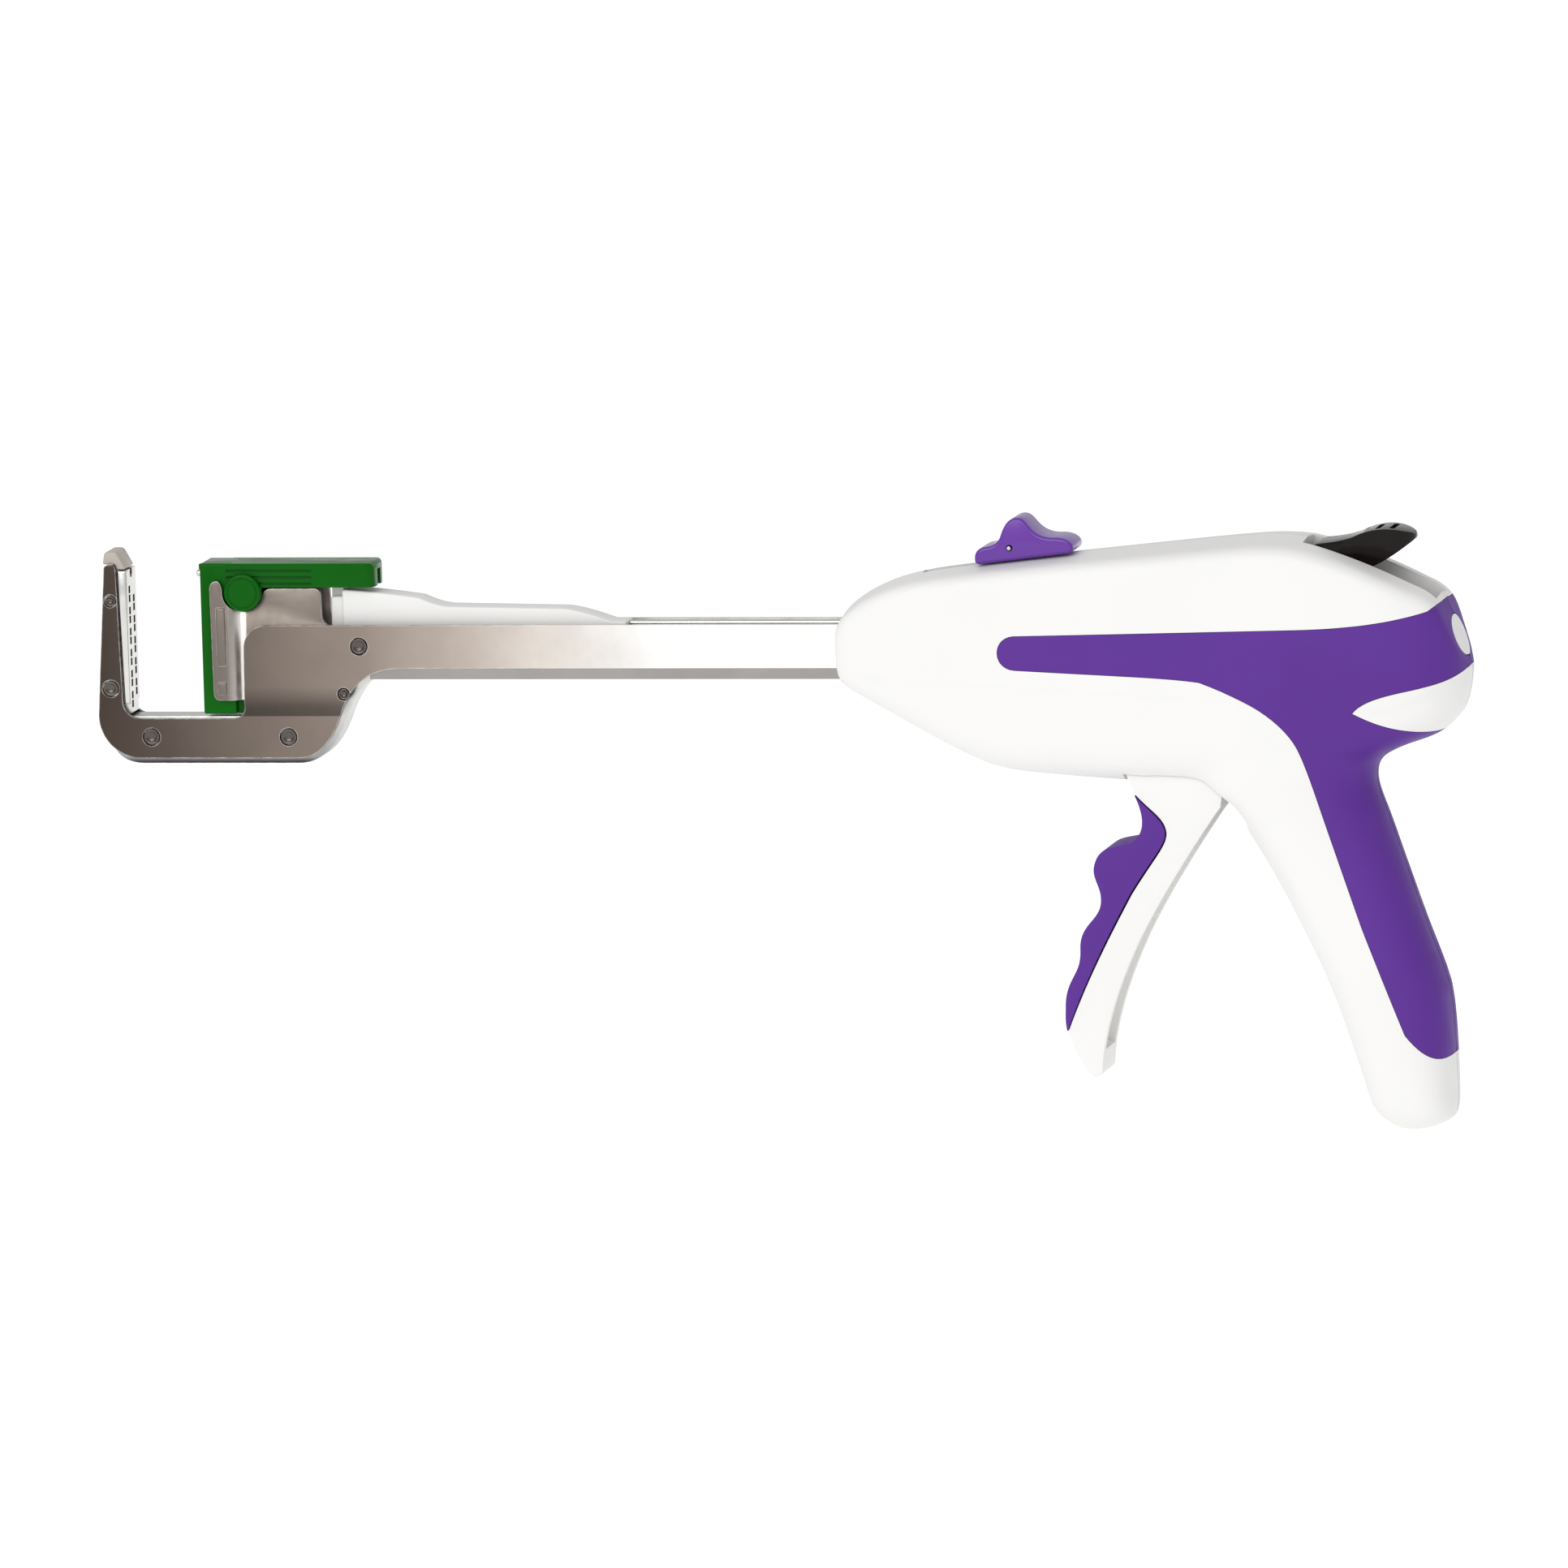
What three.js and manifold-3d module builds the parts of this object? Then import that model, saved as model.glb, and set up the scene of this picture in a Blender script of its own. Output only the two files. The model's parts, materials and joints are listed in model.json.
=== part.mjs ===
// A long reach linear stapler: an L-shaped jaw on a flat shaft,
// a pistol-grip housing and a squeeze trigger.
// Millimetres. X runs along the shaft with the jaw at the low end, Y across, Z up.
// The origin is the middle of the hand grip. The left side is the low side of Y.
import * as THREE from "three";
import { mergeVertices } from "three/addons/utils/BufferGeometryUtils.js";
import Module from "manifold-3d";

const wasm = await Module();
wasm.setup();

// Driving dimensions.

const gap = 0.3;
const curveSteps = 5;
const seamHalf = 0.15;

const shaft = { top: 65.1, bottom: 54.9, rear: -62 };
const plate = { thick: 1.2, shaftInner: 5.9, jawInner: 4.2, joggleTop: 46.8, joggleBottom: 43.6 };
const arm = { bottom: 43.5, top: 79.2, footX: -299.5, headX: -297.1 };
const jawFloor = 42.8;
const jawBase = 33.4;
const spacer = { half: 3.8, top: 43.2, base: 32 };

const staples = { count: 11, pitch: 5, first: 47, rowY: 1.5, leg: 4.8, crown: 4, wire: 0.4 };
const tissueFace = -274;
const anvilFace = -291.9;
const stapleSlotDepth = 5.5;
const pinAxisZ = 76.9;

const pivot = { x: -36.5, z: 33, radius: 2 };
const drivePin = { x: -28.5, z: 58.8, radius: 1.7 };
const leverPivot = { x: -5.5, z: 80.6, radius: 1.2 };
const latchPivot = { x: -16, z: 72, radius: 1.3 };
const springAnchor = { x: -1, z: 58, radius: 1.5 };

const wall = 2.6;
const gripDepth = 1.2;
const gripPocket = 1.5;
const screwPlaces = [
  [-98, 45],
  [-47, 74],
  [16, 50],
  [14, -43],
];

// Materials.

const material = (colour, roughness, metalness) =>
  new THREE.MeshStandardMaterial({ color: colour, roughness, metalness });
const whitePlastic = material("#f1f1ee", 0.42, 0);
const purpleRubber = material("#5b3096", 0.62, 0);
const purpleGloss = material("#6c36a6", 0.28, 0);
const greenPlastic = material("#14701a", 0.3, 0);
const palePlastic = material("#dcdcd6", 0.45, 0);
const blackPlastic = material("#1c1b1d", 0.25, 0);
const plateSteel = material("#8f8982", 0.4, 1);
const polishedSteel = material("#c9c8c6", 0.22, 1);

// Solid modelling helpers.

function toSolid(geometry) {
  const plain = geometry.index ? geometry.toNonIndexed() : geometry.clone();
  plain.deleteAttribute("normal");
  plain.deleteAttribute("uv");
  const merged = mergeVertices(plain, 1e-4);
  return new wasm.Manifold(
    new wasm.Mesh({
      numProp: 3,
      vertProperties: merged.attributes.position.array,
      triVerts: new Uint32Array(merged.index.array),
    }),
  );
}

function toGeometry(solid) {
  const made = solid.getMesh();
  const geometry = new THREE.BufferGeometry();
  geometry.setAttribute("position", new THREE.BufferAttribute(made.vertProperties, 3));
  geometry.setIndex(new THREE.BufferAttribute(made.triVerts, 1));
  geometry.computeVertexNormals();
  return geometry;
}

const join = (first, ...rest) => rest.reduce((whole, piece) => whole.add(piece), first);
const cut = (first, ...rest) => rest.reduce((whole, piece) => whole.subtract(piece), first);

// A block between two corners.
function block(x0, x1, y0, y1, z0, z1) {
  const geometry = new THREE.BoxGeometry(x1 - x0, y1 - y0, z1 - z0);
  geometry.translate((x0 + x1) / 2, (y0 + y1) / 2, (z0 + z1) / 2);
  return toSolid(geometry);
}

// A side outline in X and Z, as thick as y0 to y1, with its rims rounded by bevel.
function sideSolid(outline, y0, y1, bevel = 0, grow = 0) {
  const geometry = new THREE.ExtrudeGeometry(outline, {
    depth: y1 - y0 - 2 * bevel,
    curveSegments: curveSteps,
    bevelEnabled: bevel > 0 || grow !== 0,
    bevelThickness: bevel,
    bevelSize: bevel,
    bevelOffset: grow - bevel,
    bevelSegments: 1,
  });
  geometry.rotateX(Math.PI / 2);
  geometry.translate(0, y1 - bevel, 0);
  return toSolid(geometry);
}

// A section in Y and Z, as long as x0 to x1.
function lengthSolid(outline, x0, x1) {
  const geometry = new THREE.ExtrudeGeometry(outline, { depth: x1 - x0, bevelEnabled: false });
  const turn = new THREE.Matrix4().makeBasis(
    new THREE.Vector3(0, 1, 0),
    new THREE.Vector3(0, 0, 1),
    new THREE.Vector3(1, 0, 0),
  );
  geometry.applyMatrix4(turn);
  geometry.translate(x0, 0, 0);
  return toSolid(geometry);
}

// A plan outline in X and Y, as tall as z0 to z1.
function planSolid(outline, z0, z1) {
  const geometry = new THREE.ExtrudeGeometry(outline, { depth: z1 - z0, bevelEnabled: false });
  geometry.translate(0, 0, z0);
  return toSolid(geometry);
}

// A round bar across the part.
function crossBar(x, z, radius, y0, y1, segments = 12) {
  const geometry = new THREE.CylinderGeometry(radius, radius, y1 - y0, segments);
  geometry.translate(x, (y0 + y1) / 2, z);
  return toSolid(geometry);
}

// A round bar along the part.
function longBar(x0, x1, z, radius, segments = 12) {
  const geometry = new THREE.CylinderGeometry(radius, radius, x1 - x0, segments);
  geometry.rotateZ(Math.PI / 2);
  geometry.translate((x0 + x1) / 2, 0, z);
  return toSolid(geometry);
}

function outline(points) {
  const shape = new THREE.Shape();
  shape.moveTo(...points[0]);
  points.slice(1).forEach((point) => {
    if (point.length === 2) shape.lineTo(...point);
    else if (point.length === 4) shape.quadraticCurveTo(...point);
    else shape.bezierCurveTo(...point);
  });
  shape.closePath();
  return shape;
}

const mirrored = (solid) => solid.mirror([0, 1, 0]);
const leftHalf = (solid) => solid.intersect(block(-400, 200, -60, -seamHalf, -150, 150));

// Drops the crumbs that a cut along a curved face can leave.
const mainBody = (solid) =>
  solid.decompose().reduce((best, body) => (body.volume() > best.volume() ? body : best));

// Reads a smooth line through its key points: a cubic with the slope of the neighbours at each key.
function readLine(keys, at) {
  const last = keys.length - 1;
  const slope = (i) => {
    const a = keys[Math.max(i - 1, 0)];
    const b = keys[Math.min(i + 1, last)];
    return (b[1] - a[1]) / (b[0] - a[0]);
  };
  let i = 0;
  while (i < last - 1 && at > keys[i + 1][0]) i += 1;
  const [x0, v0] = keys[i];
  const [x1, v1] = keys[i + 1];
  const t = THREE.MathUtils.clamp((at - x0) / (x1 - x0), 0, 1);
  const steep = (v1 - v0) / (x1 - x0);
  const most = 3 * Math.abs(steep);
  const limit = (m) => (m * steep <= 0 ? 0 : Math.sign(m) * Math.min(Math.abs(m), most));
  const m0 = limit(slope(i)) * (x1 - x0);
  const m1 = limit(slope(i + 1)) * (x1 - x0);
  const t2 = t * t;
  const t3 = t2 * t;
  const ends = (2 * t3 - 3 * t2 + 1) * v0 + (3 * t2 - 2 * t3) * v1;
  return ends + (t3 - 2 * t2 + t) * m0 + (t3 - t2) * m1;
}

// Skins rings of equal point count, from the first to the last, and closes both ends.
function skin(rings) {
  const count = rings[0].length;
  const points = rings.flat();
  const faces = [];
  const at = (ring, k) => ring * count + (k % count);
  for (let ring = 0; ring < rings.length - 1; ring += 1) {
    for (let k = 0; k < count; k += 1) {
      faces.push(at(ring, k), at(ring, k + 1), at(ring + 1, k + 1));
      faces.push(at(ring, k), at(ring + 1, k + 1), at(ring + 1, k));
    }
  }
  const middle = (ring) =>
    ring.reduce((sum, p) => sum.add(p), new THREE.Vector3()).divideScalar(count);
  points.push(middle(rings[0]), middle(rings[rings.length - 1]));
  const endRing = rings.length - 1;
  for (let k = 0; k < count; k += 1) {
    faces.push(points.length - 2, at(0, k + 1), at(0, k));
    faces.push(points.length - 1, at(endRing, k), at(endRing, k + 1));
  }
  const geometry = new THREE.BufferGeometry().setFromPoints(points);
  geometry.setIndex(faces);
  return toSolid(geometry);
}

const rounded = (value, power) => Math.sign(value) * Math.abs(value) ** (2 / power);

// Housing form.

const bodyTop = [
  [-121.2, 64.8],
  [-119.5, 67.7],
  [-113.5, 72.3],
  [-103.7, 76.1],
  [-89, 78.2],
  [-50.9, 82.3],
  [-19.7, 85.2],
  [-11, 84.9],
  [-0.4, 81.9],
  [15, 75.5],
  [22.5, 71.2],
  [25.6, 63.8],
  [28, 57.3],
  [28.8, 54.9],
];
const bodyBottom = [
  [-121.2, 52],
  [-119.6, 50],
  [-113.5, 46.3],
  [-94.3, 35.5],
  [-84, 31],
  [-71.2, 29.2],
  [-40.1, 27.4],
  [-10, 28.5],
  [5, 32.5],
  [12.9, 36.1],
  [20.7, 38.6],
  [24.3, 41.5],
  [27, 45.3],
  [28.5, 50.7],
  [28.8, 53.4],
];
const bodyHalfWidth = [
  [-121.2, 9.4],
  [-118, 11.2],
  [-100, 13.4],
  [-80, 14.8],
  [-50, 16],
  [-10, 17.2],
  [8, 17.2],
  [18, 15.6],
  [23, 13],
  [27, 8.4],
  [28.8, 3],
];
const bodyStations = [
  -121.2, -119.6, -117, -113, -106, -95, -82, -66, -48, -32, -20, -10,
  0, 9, 16, 21, 24, 26.4, 28.1, 28.8,
];
const handleFront = [
  [-54.6, 11.5],
  [-53.9, 8.6],
  [-51.2, 4.7],
  [-47.9, 2.5],
  [-42.7, 1.1],
  [-21.2, -6.1],
  [-5.2, -13.4],
  [8.9, -20.8],
  [22.3, -29.7],
  [26.7, -36.2],
  [31, -38],
  [44, -38],
];
const handleBack = [
  [-54.6, 13.5],
  [-53.9, 17.5],
  [-51.6, 22],
  [-47, 22.7],
  [-37.8, 22.6],
  [-26.2, 22.1],
  [-19.5, 21.1],
  [-4.7, 15.9],
  [17, 8.8],
  [28.6, 5.3],
  [33.4, 6.6],
  [36, 11],
  [44, 14],
];
const handleHalfWidth = [
  [-54.6, 3],
  [-53.9, 6.5],
  [-51.2, 10.4],
  [-46, 12.8],
  [-30, 14],
  [0, 13.6],
  [28, 13],
  [44, 13],
];
const handleStations = [-54.6, -53.9, -51.6, -47.5, -40, -29, -17, -5, 8, 20, 28, 34, 44];

function bodyForm(inset, count) {
  const nose = bodyStations[0];
  const rear = bodyStations[bodyStations.length - 1];
  const rings = bodyStations.map((x) => {
    const top = readLine(bodyTop, x) - inset;
    const bottom = readLine(bodyBottom, x) + inset;
    const half = readLine(bodyHalfWidth, x) - inset;
    const shift = x > 0 ? (-inset * x) / rear : x < -80 ? (-inset * (x + 80)) / (nose + 80) : 0;
    const place = x + (x < -80 ? -shift : shift);
    const ring = [];
    for (let k = 0; k < count; k += 1) {
      const angle = (2 * Math.PI * k) / count;
      const power = k < count / 2 ? 3.4 : 2.5;
      const y = Math.max(half, 0.4) * rounded(Math.cos(angle), power);
      const middle = (top + bottom) / 2;
      const rise = Math.max((top - bottom) / 2, 0.4) * rounded(Math.sin(angle), power);
      ring.push(new THREE.Vector3(place, y, middle + rise));
    }
    return ring;
  });
  return skin(rings);
}

function handleForm(inset, count) {
  const foot = handleStations[0];
  const rings = handleStations.map((z) => {
    const front = readLine(handleFront, z) + inset;
    const back = readLine(handleBack, z) - inset;
    const half = readLine(handleHalfWidth, z) - inset;
    const place = z < 0 ? z + (inset * z) / foot : z;
    const ring = [];
    for (let k = 0; k < count; k += 1) {
      const angle = (2 * Math.PI * k) / count;
      const reach = Math.max((back - front) / 2, 0.4);
      const x = (front + back) / 2 + reach * rounded(Math.cos(angle), 2.6);
      const y = Math.max(half, 0.4) * rounded(Math.sin(angle), 2.6);
      ring.push(new THREE.Vector3(x, y, place));
    }
    return ring;
  });
  return skin(rings);
}

const outsideCount = 20;
const insideCount = 12;
const housingForm = (inset, count = outsideCount) =>
  bodyForm(inset, count).add(handleForm(inset, count));

// The purple grip seen from the side: a stripe that widens into the rear and runs down the handle.
function gripOutline() {
  return outline([
    [-77.5, 63.3],
    [-9.4, 65],
    [8, 65.4, 20.9, 68.9],
    [24.5, 71.5],
    [36, 71.5],
    [36, -31],
    [24, -35.3],
    [20, -40, 13, -30.9],
    [8, -18, 3.4, -5.7],
    [-10.3, 35.6],
    [-13.6, 45.6, -33.1, 52.7],
    [-37.5, 53.4, -48.7, 54],
    [-77.4, 55.4],
    [-82.6, 55.8, -82.6, 62.8, -77.5, 63.3],
  ]);
}

// The white teardrop that the grip leaves open at the rear.
function teardropOutline(grow) {
  return outline([
    [2.8 - grow, 45.3],
    [6, 49.4 + grow, 15, 50.2 + grow, 20, 51.4 + grow],
    [26, 52.6 + grow, 29, 54 + grow, 31, 58.5 + grow],
    [40, 58.5 + grow],
    [40, 40.1 - grow],
    [21, 39.9 - grow],
    [12, 40.2 - grow, 2.8 - grow, 45.3],
  ]);
}

const inlay = { x: 25.1, z: 61.4, tilt: 0.36, halfLength: 4.9, halfWidth: 4.6 };

// An oval plug whose flat ends face along the slope of the rear.
function inlayPlug(grow, inner, outer) {
  const geometry = new THREE.CylinderGeometry(1, 1, outer - inner, 20);
  geometry.translate(0, (outer + inner) / 2, 0);
  geometry.rotateZ(-Math.PI / 2);
  geometry.scale(1, inlay.halfWidth + grow, inlay.halfLength + grow);
  geometry.rotateY(-inlay.tilt);
  geometry.translate(inlay.x, 0, inlay.z);
  return toSolid(geometry);
}

const outerForm = housingForm(0);
const gripZone = (grow) =>
  sideSolid(gripOutline(), -40, 40, 0, grow).subtract(sideSolid(teardropOutline(-grow), -41, 41));
const leverWellOutline = outline([[-9.5, 74], [-9.5, 90], [24, 90], [21.2, 66], [8, 70]]);
const leverWell = sideSolid(leverWellOutline, -7, 7);

function gripSolid() {
  const band = outerForm.subtract(housingForm(gripDepth));
  const plain = leftHalf(band.intersect(gripZone(0)));
  return mainBody(cut(plain, inlayPlug(gap, -6, 6), leverWell));
}

const leftGripSolid = gripSolid();

// Round posts inside a shell that hold the pins and screws.
function bossPosts() {
  const posts = [
    [pivot.x, pivot.z, 4, 8.4],
    [latchPivot.x, latchPivot.z, 3, 3],
    [springAnchor.x, springAnchor.z, 3, 4.5],
    ...screwPlaces.map(([x, z]) => [x, z, 3.2, seamHalf]),
  ];
  return posts.map(([x, z, radius, from]) => crossBar(x, z, radius, -20, -from, 12));
}

function shellSolid() {
  const inside = cut(housingForm(wall, insideCount), ...bossPosts());
  const pocket = gripZone(gap).subtract(housingForm(gripPocket));
  const nose = block(-125, -112, -7.5, 7.5, 51.7, 66);
  const slideSlot = block(-101, -70, -2.4, 2.4, 66, 95);
  const slotOutline = outline([[-53.4, 20], [-53.4, 40], [-22, 40], [-24.6, 15.2], [-36, 14]]);
  const triggerSlot = sideSolid(slotOutline, -8.5, 8.5);
  const pinHoles = [
    crossBar(pivot.x, pivot.z, pivot.radius + gap, -11.5, 0),
    crossBar(latchPivot.x, latchPivot.z, latchPivot.radius + gap, -11.5, 0),
    crossBar(springAnchor.x, springAnchor.z, springAnchor.radius + gap, -11.5, 0),
    crossBar(leverPivot.x, leverPivot.z, leverPivot.radius + gap, -9.6, 0),
  ];
  const openings = [pocket, nose, slideSlot, triggerSlot, leverWell, inlayPlug(gap, -1.9, 6)];
  const whole = cut(outerForm, inside, ...openings);
  const screwHoles = screwPlaces.map(([x, z]) => crossBar(x, z, 1.3, -8, 0, 12));
  return mainBody(cut(leftHalf(whole), ...pinHoles, ...screwHoles));
}

function rightShellSolid(left) {
  const wells = screwPlaces.map(([x, z]) => crossBar(x, z, 2.9, 9, 30, 16));
  const bores = screwPlaces.map(([x, z]) => crossBar(x, z, 1.5, 0, 10, 12));
  return mainBody(cut(mirrored(left), ...wells, ...bores));
}

function housingScrew([x, z]) {
  const head = crossBar(x, z, 2.5, 9.3, 11.2, 16);
  const shank = crossBar(x, z, 1.1, -6, 9.4, 12);
  const slot = block(x - 2, x + 2, 10.5, 12, z - 0.35, z + 0.35);
  const crossSlot = block(x - 0.35, x + 0.35, 10.5, 12, z - 2, z + 2);
  return cut(head.add(shank), slot, crossSlot);
}

// Side plates, jaw and shaft.

function plateOutline() {
  const shape = new THREE.Shape();
  shape.moveTo(shaft.rear, shaft.top);
  shape.lineTo(-258.2, shaft.top);
  shape.absarc(-258.2, 59.7, 5.4, Math.PI / 2, Math.PI, false);
  shape.lineTo(-263.8, 46.4);
  shape.quadraticCurveTo(-264, jawFloor, -267.2, jawFloor);
  shape.lineTo(-289.5, jawFloor);
  shape.absarc(-289.5, jawFloor + 4.1, 4.1, -Math.PI / 2, -Math.PI, true);
  shape.lineTo(-294.4, 78.4);
  shape.quadraticCurveTo(-294.5, arm.top, -295.3, arm.top);
  shape.lineTo(-296.2, arm.top);
  shape.quadraticCurveTo(arm.headX, arm.top, arm.headX - 0.1, 78.3);
  shape.lineTo(arm.footX, arm.bottom);
  shape.absarc(arm.footX + 10.1, arm.bottom, 10.1, Math.PI, 1.5 * Math.PI, false);
  shape.lineTo(-251.8, jawBase);
  shape.bezierCurveTo(-246.5, jawBase, -243.4, 37.6, -241.4, 42.8);
  shape.bezierCurveTo(-238.6, 49.8, -235.2, shaft.bottom, -225.5, shaft.bottom);
  shape.lineTo(shaft.rear, shaft.bottom);
  shape.closePath();
  return shape;
}

const rivetPlaces = {
  anvil_rivet_upper: [-295.9, 70.7, 1.3],
  anvil_rivet_lower: [-296.4, 49.9, 1.8],
  jaw_rivet_front: [-286.9, 38.4, 1.9],
  jaw_rivet_rear: [-253.8, 38.4, 1.9],
};
const shaftRivet = [-235.8, 60.1, 1.9];
const guidePin = [-239.8, 48.8, 1.3];

// The sheet is stepped inwards below the shaft, so that the jaw is slimmer than the shaft.
function leftPlateSolid() {
  const { thick, shaftInner, jawInner, joggleTop, joggleBottom } = plate;
  const bent = outline([
    [-shaftInner - thick, 90],
    [-shaftInner - thick, joggleTop],
    [-jawInner - thick, joggleBottom],
    [-jawInner - thick, 20],
    [-jawInner, 20],
    [-jawInner, joggleBottom - 0.3],
    [-shaftInner, joggleTop - 0.3],
    [-shaftInner, 90],
  ]);
  const jawSheet = block(-310, -284.9, -jawInner - thick, -jawInner, 20, 90);
  const sheet = lengthSolid(bent, -285, -50).add(jawSheet);
  const body = sheet.intersect(sideSolid(plateOutline(), -20, 20));
  const fastened = [...Object.values(rivetPlaces), shaftRivet, guidePin];
  return cut(body, ...fastened.map(([x, z, head]) => crossBar(x, z, head + gap, -20, 0)));
}

// A rivet with dished ends, flush with the plates that it holds.
function rivet([x, z, head], reach, shank) {
  const inner = reach - plate.thick;
  const ends = [crossBar(x, z, head, inner, reach, 14), crossBar(x, z, head, -reach, -inner, 14)];
  const dishes = [-reach, reach].map((y) => crossBar(x, z, head * 0.45, y - 0.3, y + 0.3, 8));
  return cut(join(crossBar(x, z, shank, -reach + 0.6, reach - 0.6, 8), ...ends), ...dishes);
}

function spacerSolid() {
  const shape = outline([
    [-296.8, spacer.top],
    [-297.4, 40.4],
    [-297, spacer.base, -289, spacer.base],
    [-251.8, spacer.base],
    [-245.6, spacer.base, -242.2, 36.9, -240.1, 42.3],
    [-238.6, 46.4, -236.6, 49.2],
    [-238.4, 51.2],
    [-243, 50.4],
    [-243, 46.8],
    [-260.6, 46.8],
    [-261.2, spacer.top],
  ]);
  const holes = [rivetPlaces.jaw_rivet_front, rivetPlaces.jaw_rivet_rear];
  return cut(
    sideSolid(shape, -spacer.half, spacer.half),
    ...holes.map(([x, z]) => crossBar(x, z, 1.3, -9, 9)),
    crossBar(guidePin[0], guidePin[1], 1.1, -9, 9),
  );
}

// A U-shaped channel under and between the plates.
function channelSolid() {
  const section = outline([
    [-5.6, 52.1],
    [5.6, 52.1],
    [5.6, 64.2],
    [4.4, 64.2],
    [4.4, 53.3],
    [-4.4, 53.3],
    [-4.4, 64.2],
    [-5.6, 64.2],
  ]);
  return lengthSolid(section, -233.6, shaft.rear);
}

function stapleCentre(k) {
  return { z: staples.first + (staples.pitch / 2) * k, y: k % 2 ? staples.rowY : -staples.rowY };
}

function anvilSolid() {
  const stem = sideSolid(
    outline([[-298.7, 43.9], [anvilFace, 43.9], [anvilFace, 78.6], [-296.7, 78.6]]),
    -spacer.half,
    spacer.half,
  );
  const face = sideSolid(
    outline([[anvilFace - 1.3, 46.2], [anvilFace, 46.2], [anvilFace, 78.6], [anvilFace - 2.2, 78.6]]),
    -5,
    5,
  );
  const pockets = [];
  for (let k = 0; k < staples.count; k += 1) {
    const { y, z } = stapleCentre(k);
    pockets.push(block(anvilFace - 0.5, anvilFace + 1, y - 0.5, y + 0.5, z - 2, z + 2));
  }
  const rivets = [rivetPlaces.anvil_rivet_upper, rivetPlaces.anvil_rivet_lower];
  return cut(
    stem.add(face),
    ...pockets,
    ...rivets.map(([x, z]) => crossBar(x, z, 1.15, -9, 9)),
    longBar(anvilFace - 3.5, anvilFace + 1, pinAxisZ, 1.2),
  );
}

function anvilCapSolid() {
  const shape = outline([
    [-297.9, 79.5],
    [-297.8, 83.1, -295, 83.1],
    [-292.6, 83.1, -291.3, 79.5],
  ]);
  return sideSolid(shape, -5.3, 5.3, 0.6);
}

// Cartridge and its staples.

const cartridge = {
  half: 5.6,
  midHalf: 3.8,
  bottom: 43.9,
  top: 80.8,
  beamBottom: 73.9,
  beamRear: -231.2,
};

function cartridgeSolid() {
  const { half, midHalf, bottom, top, beamBottom, beamRear } = cartridge;
  const front = block(tissueFace, -266.1, -half, half, bottom, top);
  const middle = block(-266.2, -261.4, -midHalf, midHalf, bottom, beamBottom + 1);
  const lowerRear = block(-261.5, -257, -midHalf, midHalf, 49, 63.5);
  const beam = sideSolid(
    outline([
      [-266.2, beamBottom],
      [-266.2, top],
      [-232.6, top],
      [beamRear, top, beamRear, 77.6],
      [beamRear, beamBottom],
    ]),
    -half,
    half,
    0.6,
  );
  const boss = crossBar(-263.5, 72.8, 4.4, -7.3, -half + 0.7, 24);
  const alignBump = block(tissueFace - 1.2, tissueFace + 0.2, -1, 1, 77.9, 79.2);
  const body = join(front, middle, lowerRear, beam, boss, mirrored(boss), alignBump);
  const slots = [];
  for (let k = 0; k < staples.count; k += 1) {
    const { y, z } = stapleCentre(k);
    slots.push(block(tissueFace - 1, -266, y - 0.5, y + 0.5, z - 2.3, z + 2.3));
  }
  const chamber = block(tissueFace + stapleSlotDepth, -261.3, -3, 3, 44.6, 74.4);
  const rearWindow = block(-262, -256, -3, 3, 50, 62.8);
  const tabSlot = block(-262, -225, -1.9, 1.9, beamBottom - 1, 78.8);
  const grooves = [];
  for (const z of [78.4, 76.5, 74.9]) {
    grooves.push(block(-268, -247, -half - 1, -half + 0.4, z - 0.35, z + 0.35));
    grooves.push(block(-268, -247, half - 0.4, half + 1, z - 0.35, z + 0.35));
  }
  const pinHole = longBar(-276, -260, pinAxisZ - 0.2, 1.2);
  return cut(body, ...slots, chamber, rearWindow, tabSlot, pinHole, ...grooves);
}

// A staple before it is formed: a crown and two legs of square wire.
function stapleSolid(k) {
  const { y, z } = stapleCentre(k);
  const { leg, crown, wire } = staples;
  const tip = tissueFace + 0.3;
  const crownX = tip + leg;
  const half = crown / 2;
  const shape = outline([
    [tip, z - half],
    [crownX, z - half],
    [crownX, z + half],
    [tip, z + half],
    [tip + 0.3, z + half - wire],
    [crownX - wire, z + half - wire],
    [crownX - wire, z - half + wire],
    [tip + 0.3, z - half + wire],
  ]);
  return sideSolid(shape, y - wire / 2, y + wire / 2);
}

function driverSolid() {
  const fingers = [];
  for (let k = 0; k < staples.count; k += 1) {
    const { y, z } = stapleCentre(k);
    fingers.push(block(-268.6, -264.1, y - 0.3, y + 0.3, z - 1.9, z + 1.9));
  }
  return join(block(-264.2, -261.9, -2.6, 2.6, 45, 74), ...fingers);
}

// Carrier that holds the cartridge and slides between the plates.

const carrier = { rearInner: 4.4, frontInner: 6, thick: 1.1, bottom: 47.3, rear: -243.5 };

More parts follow.
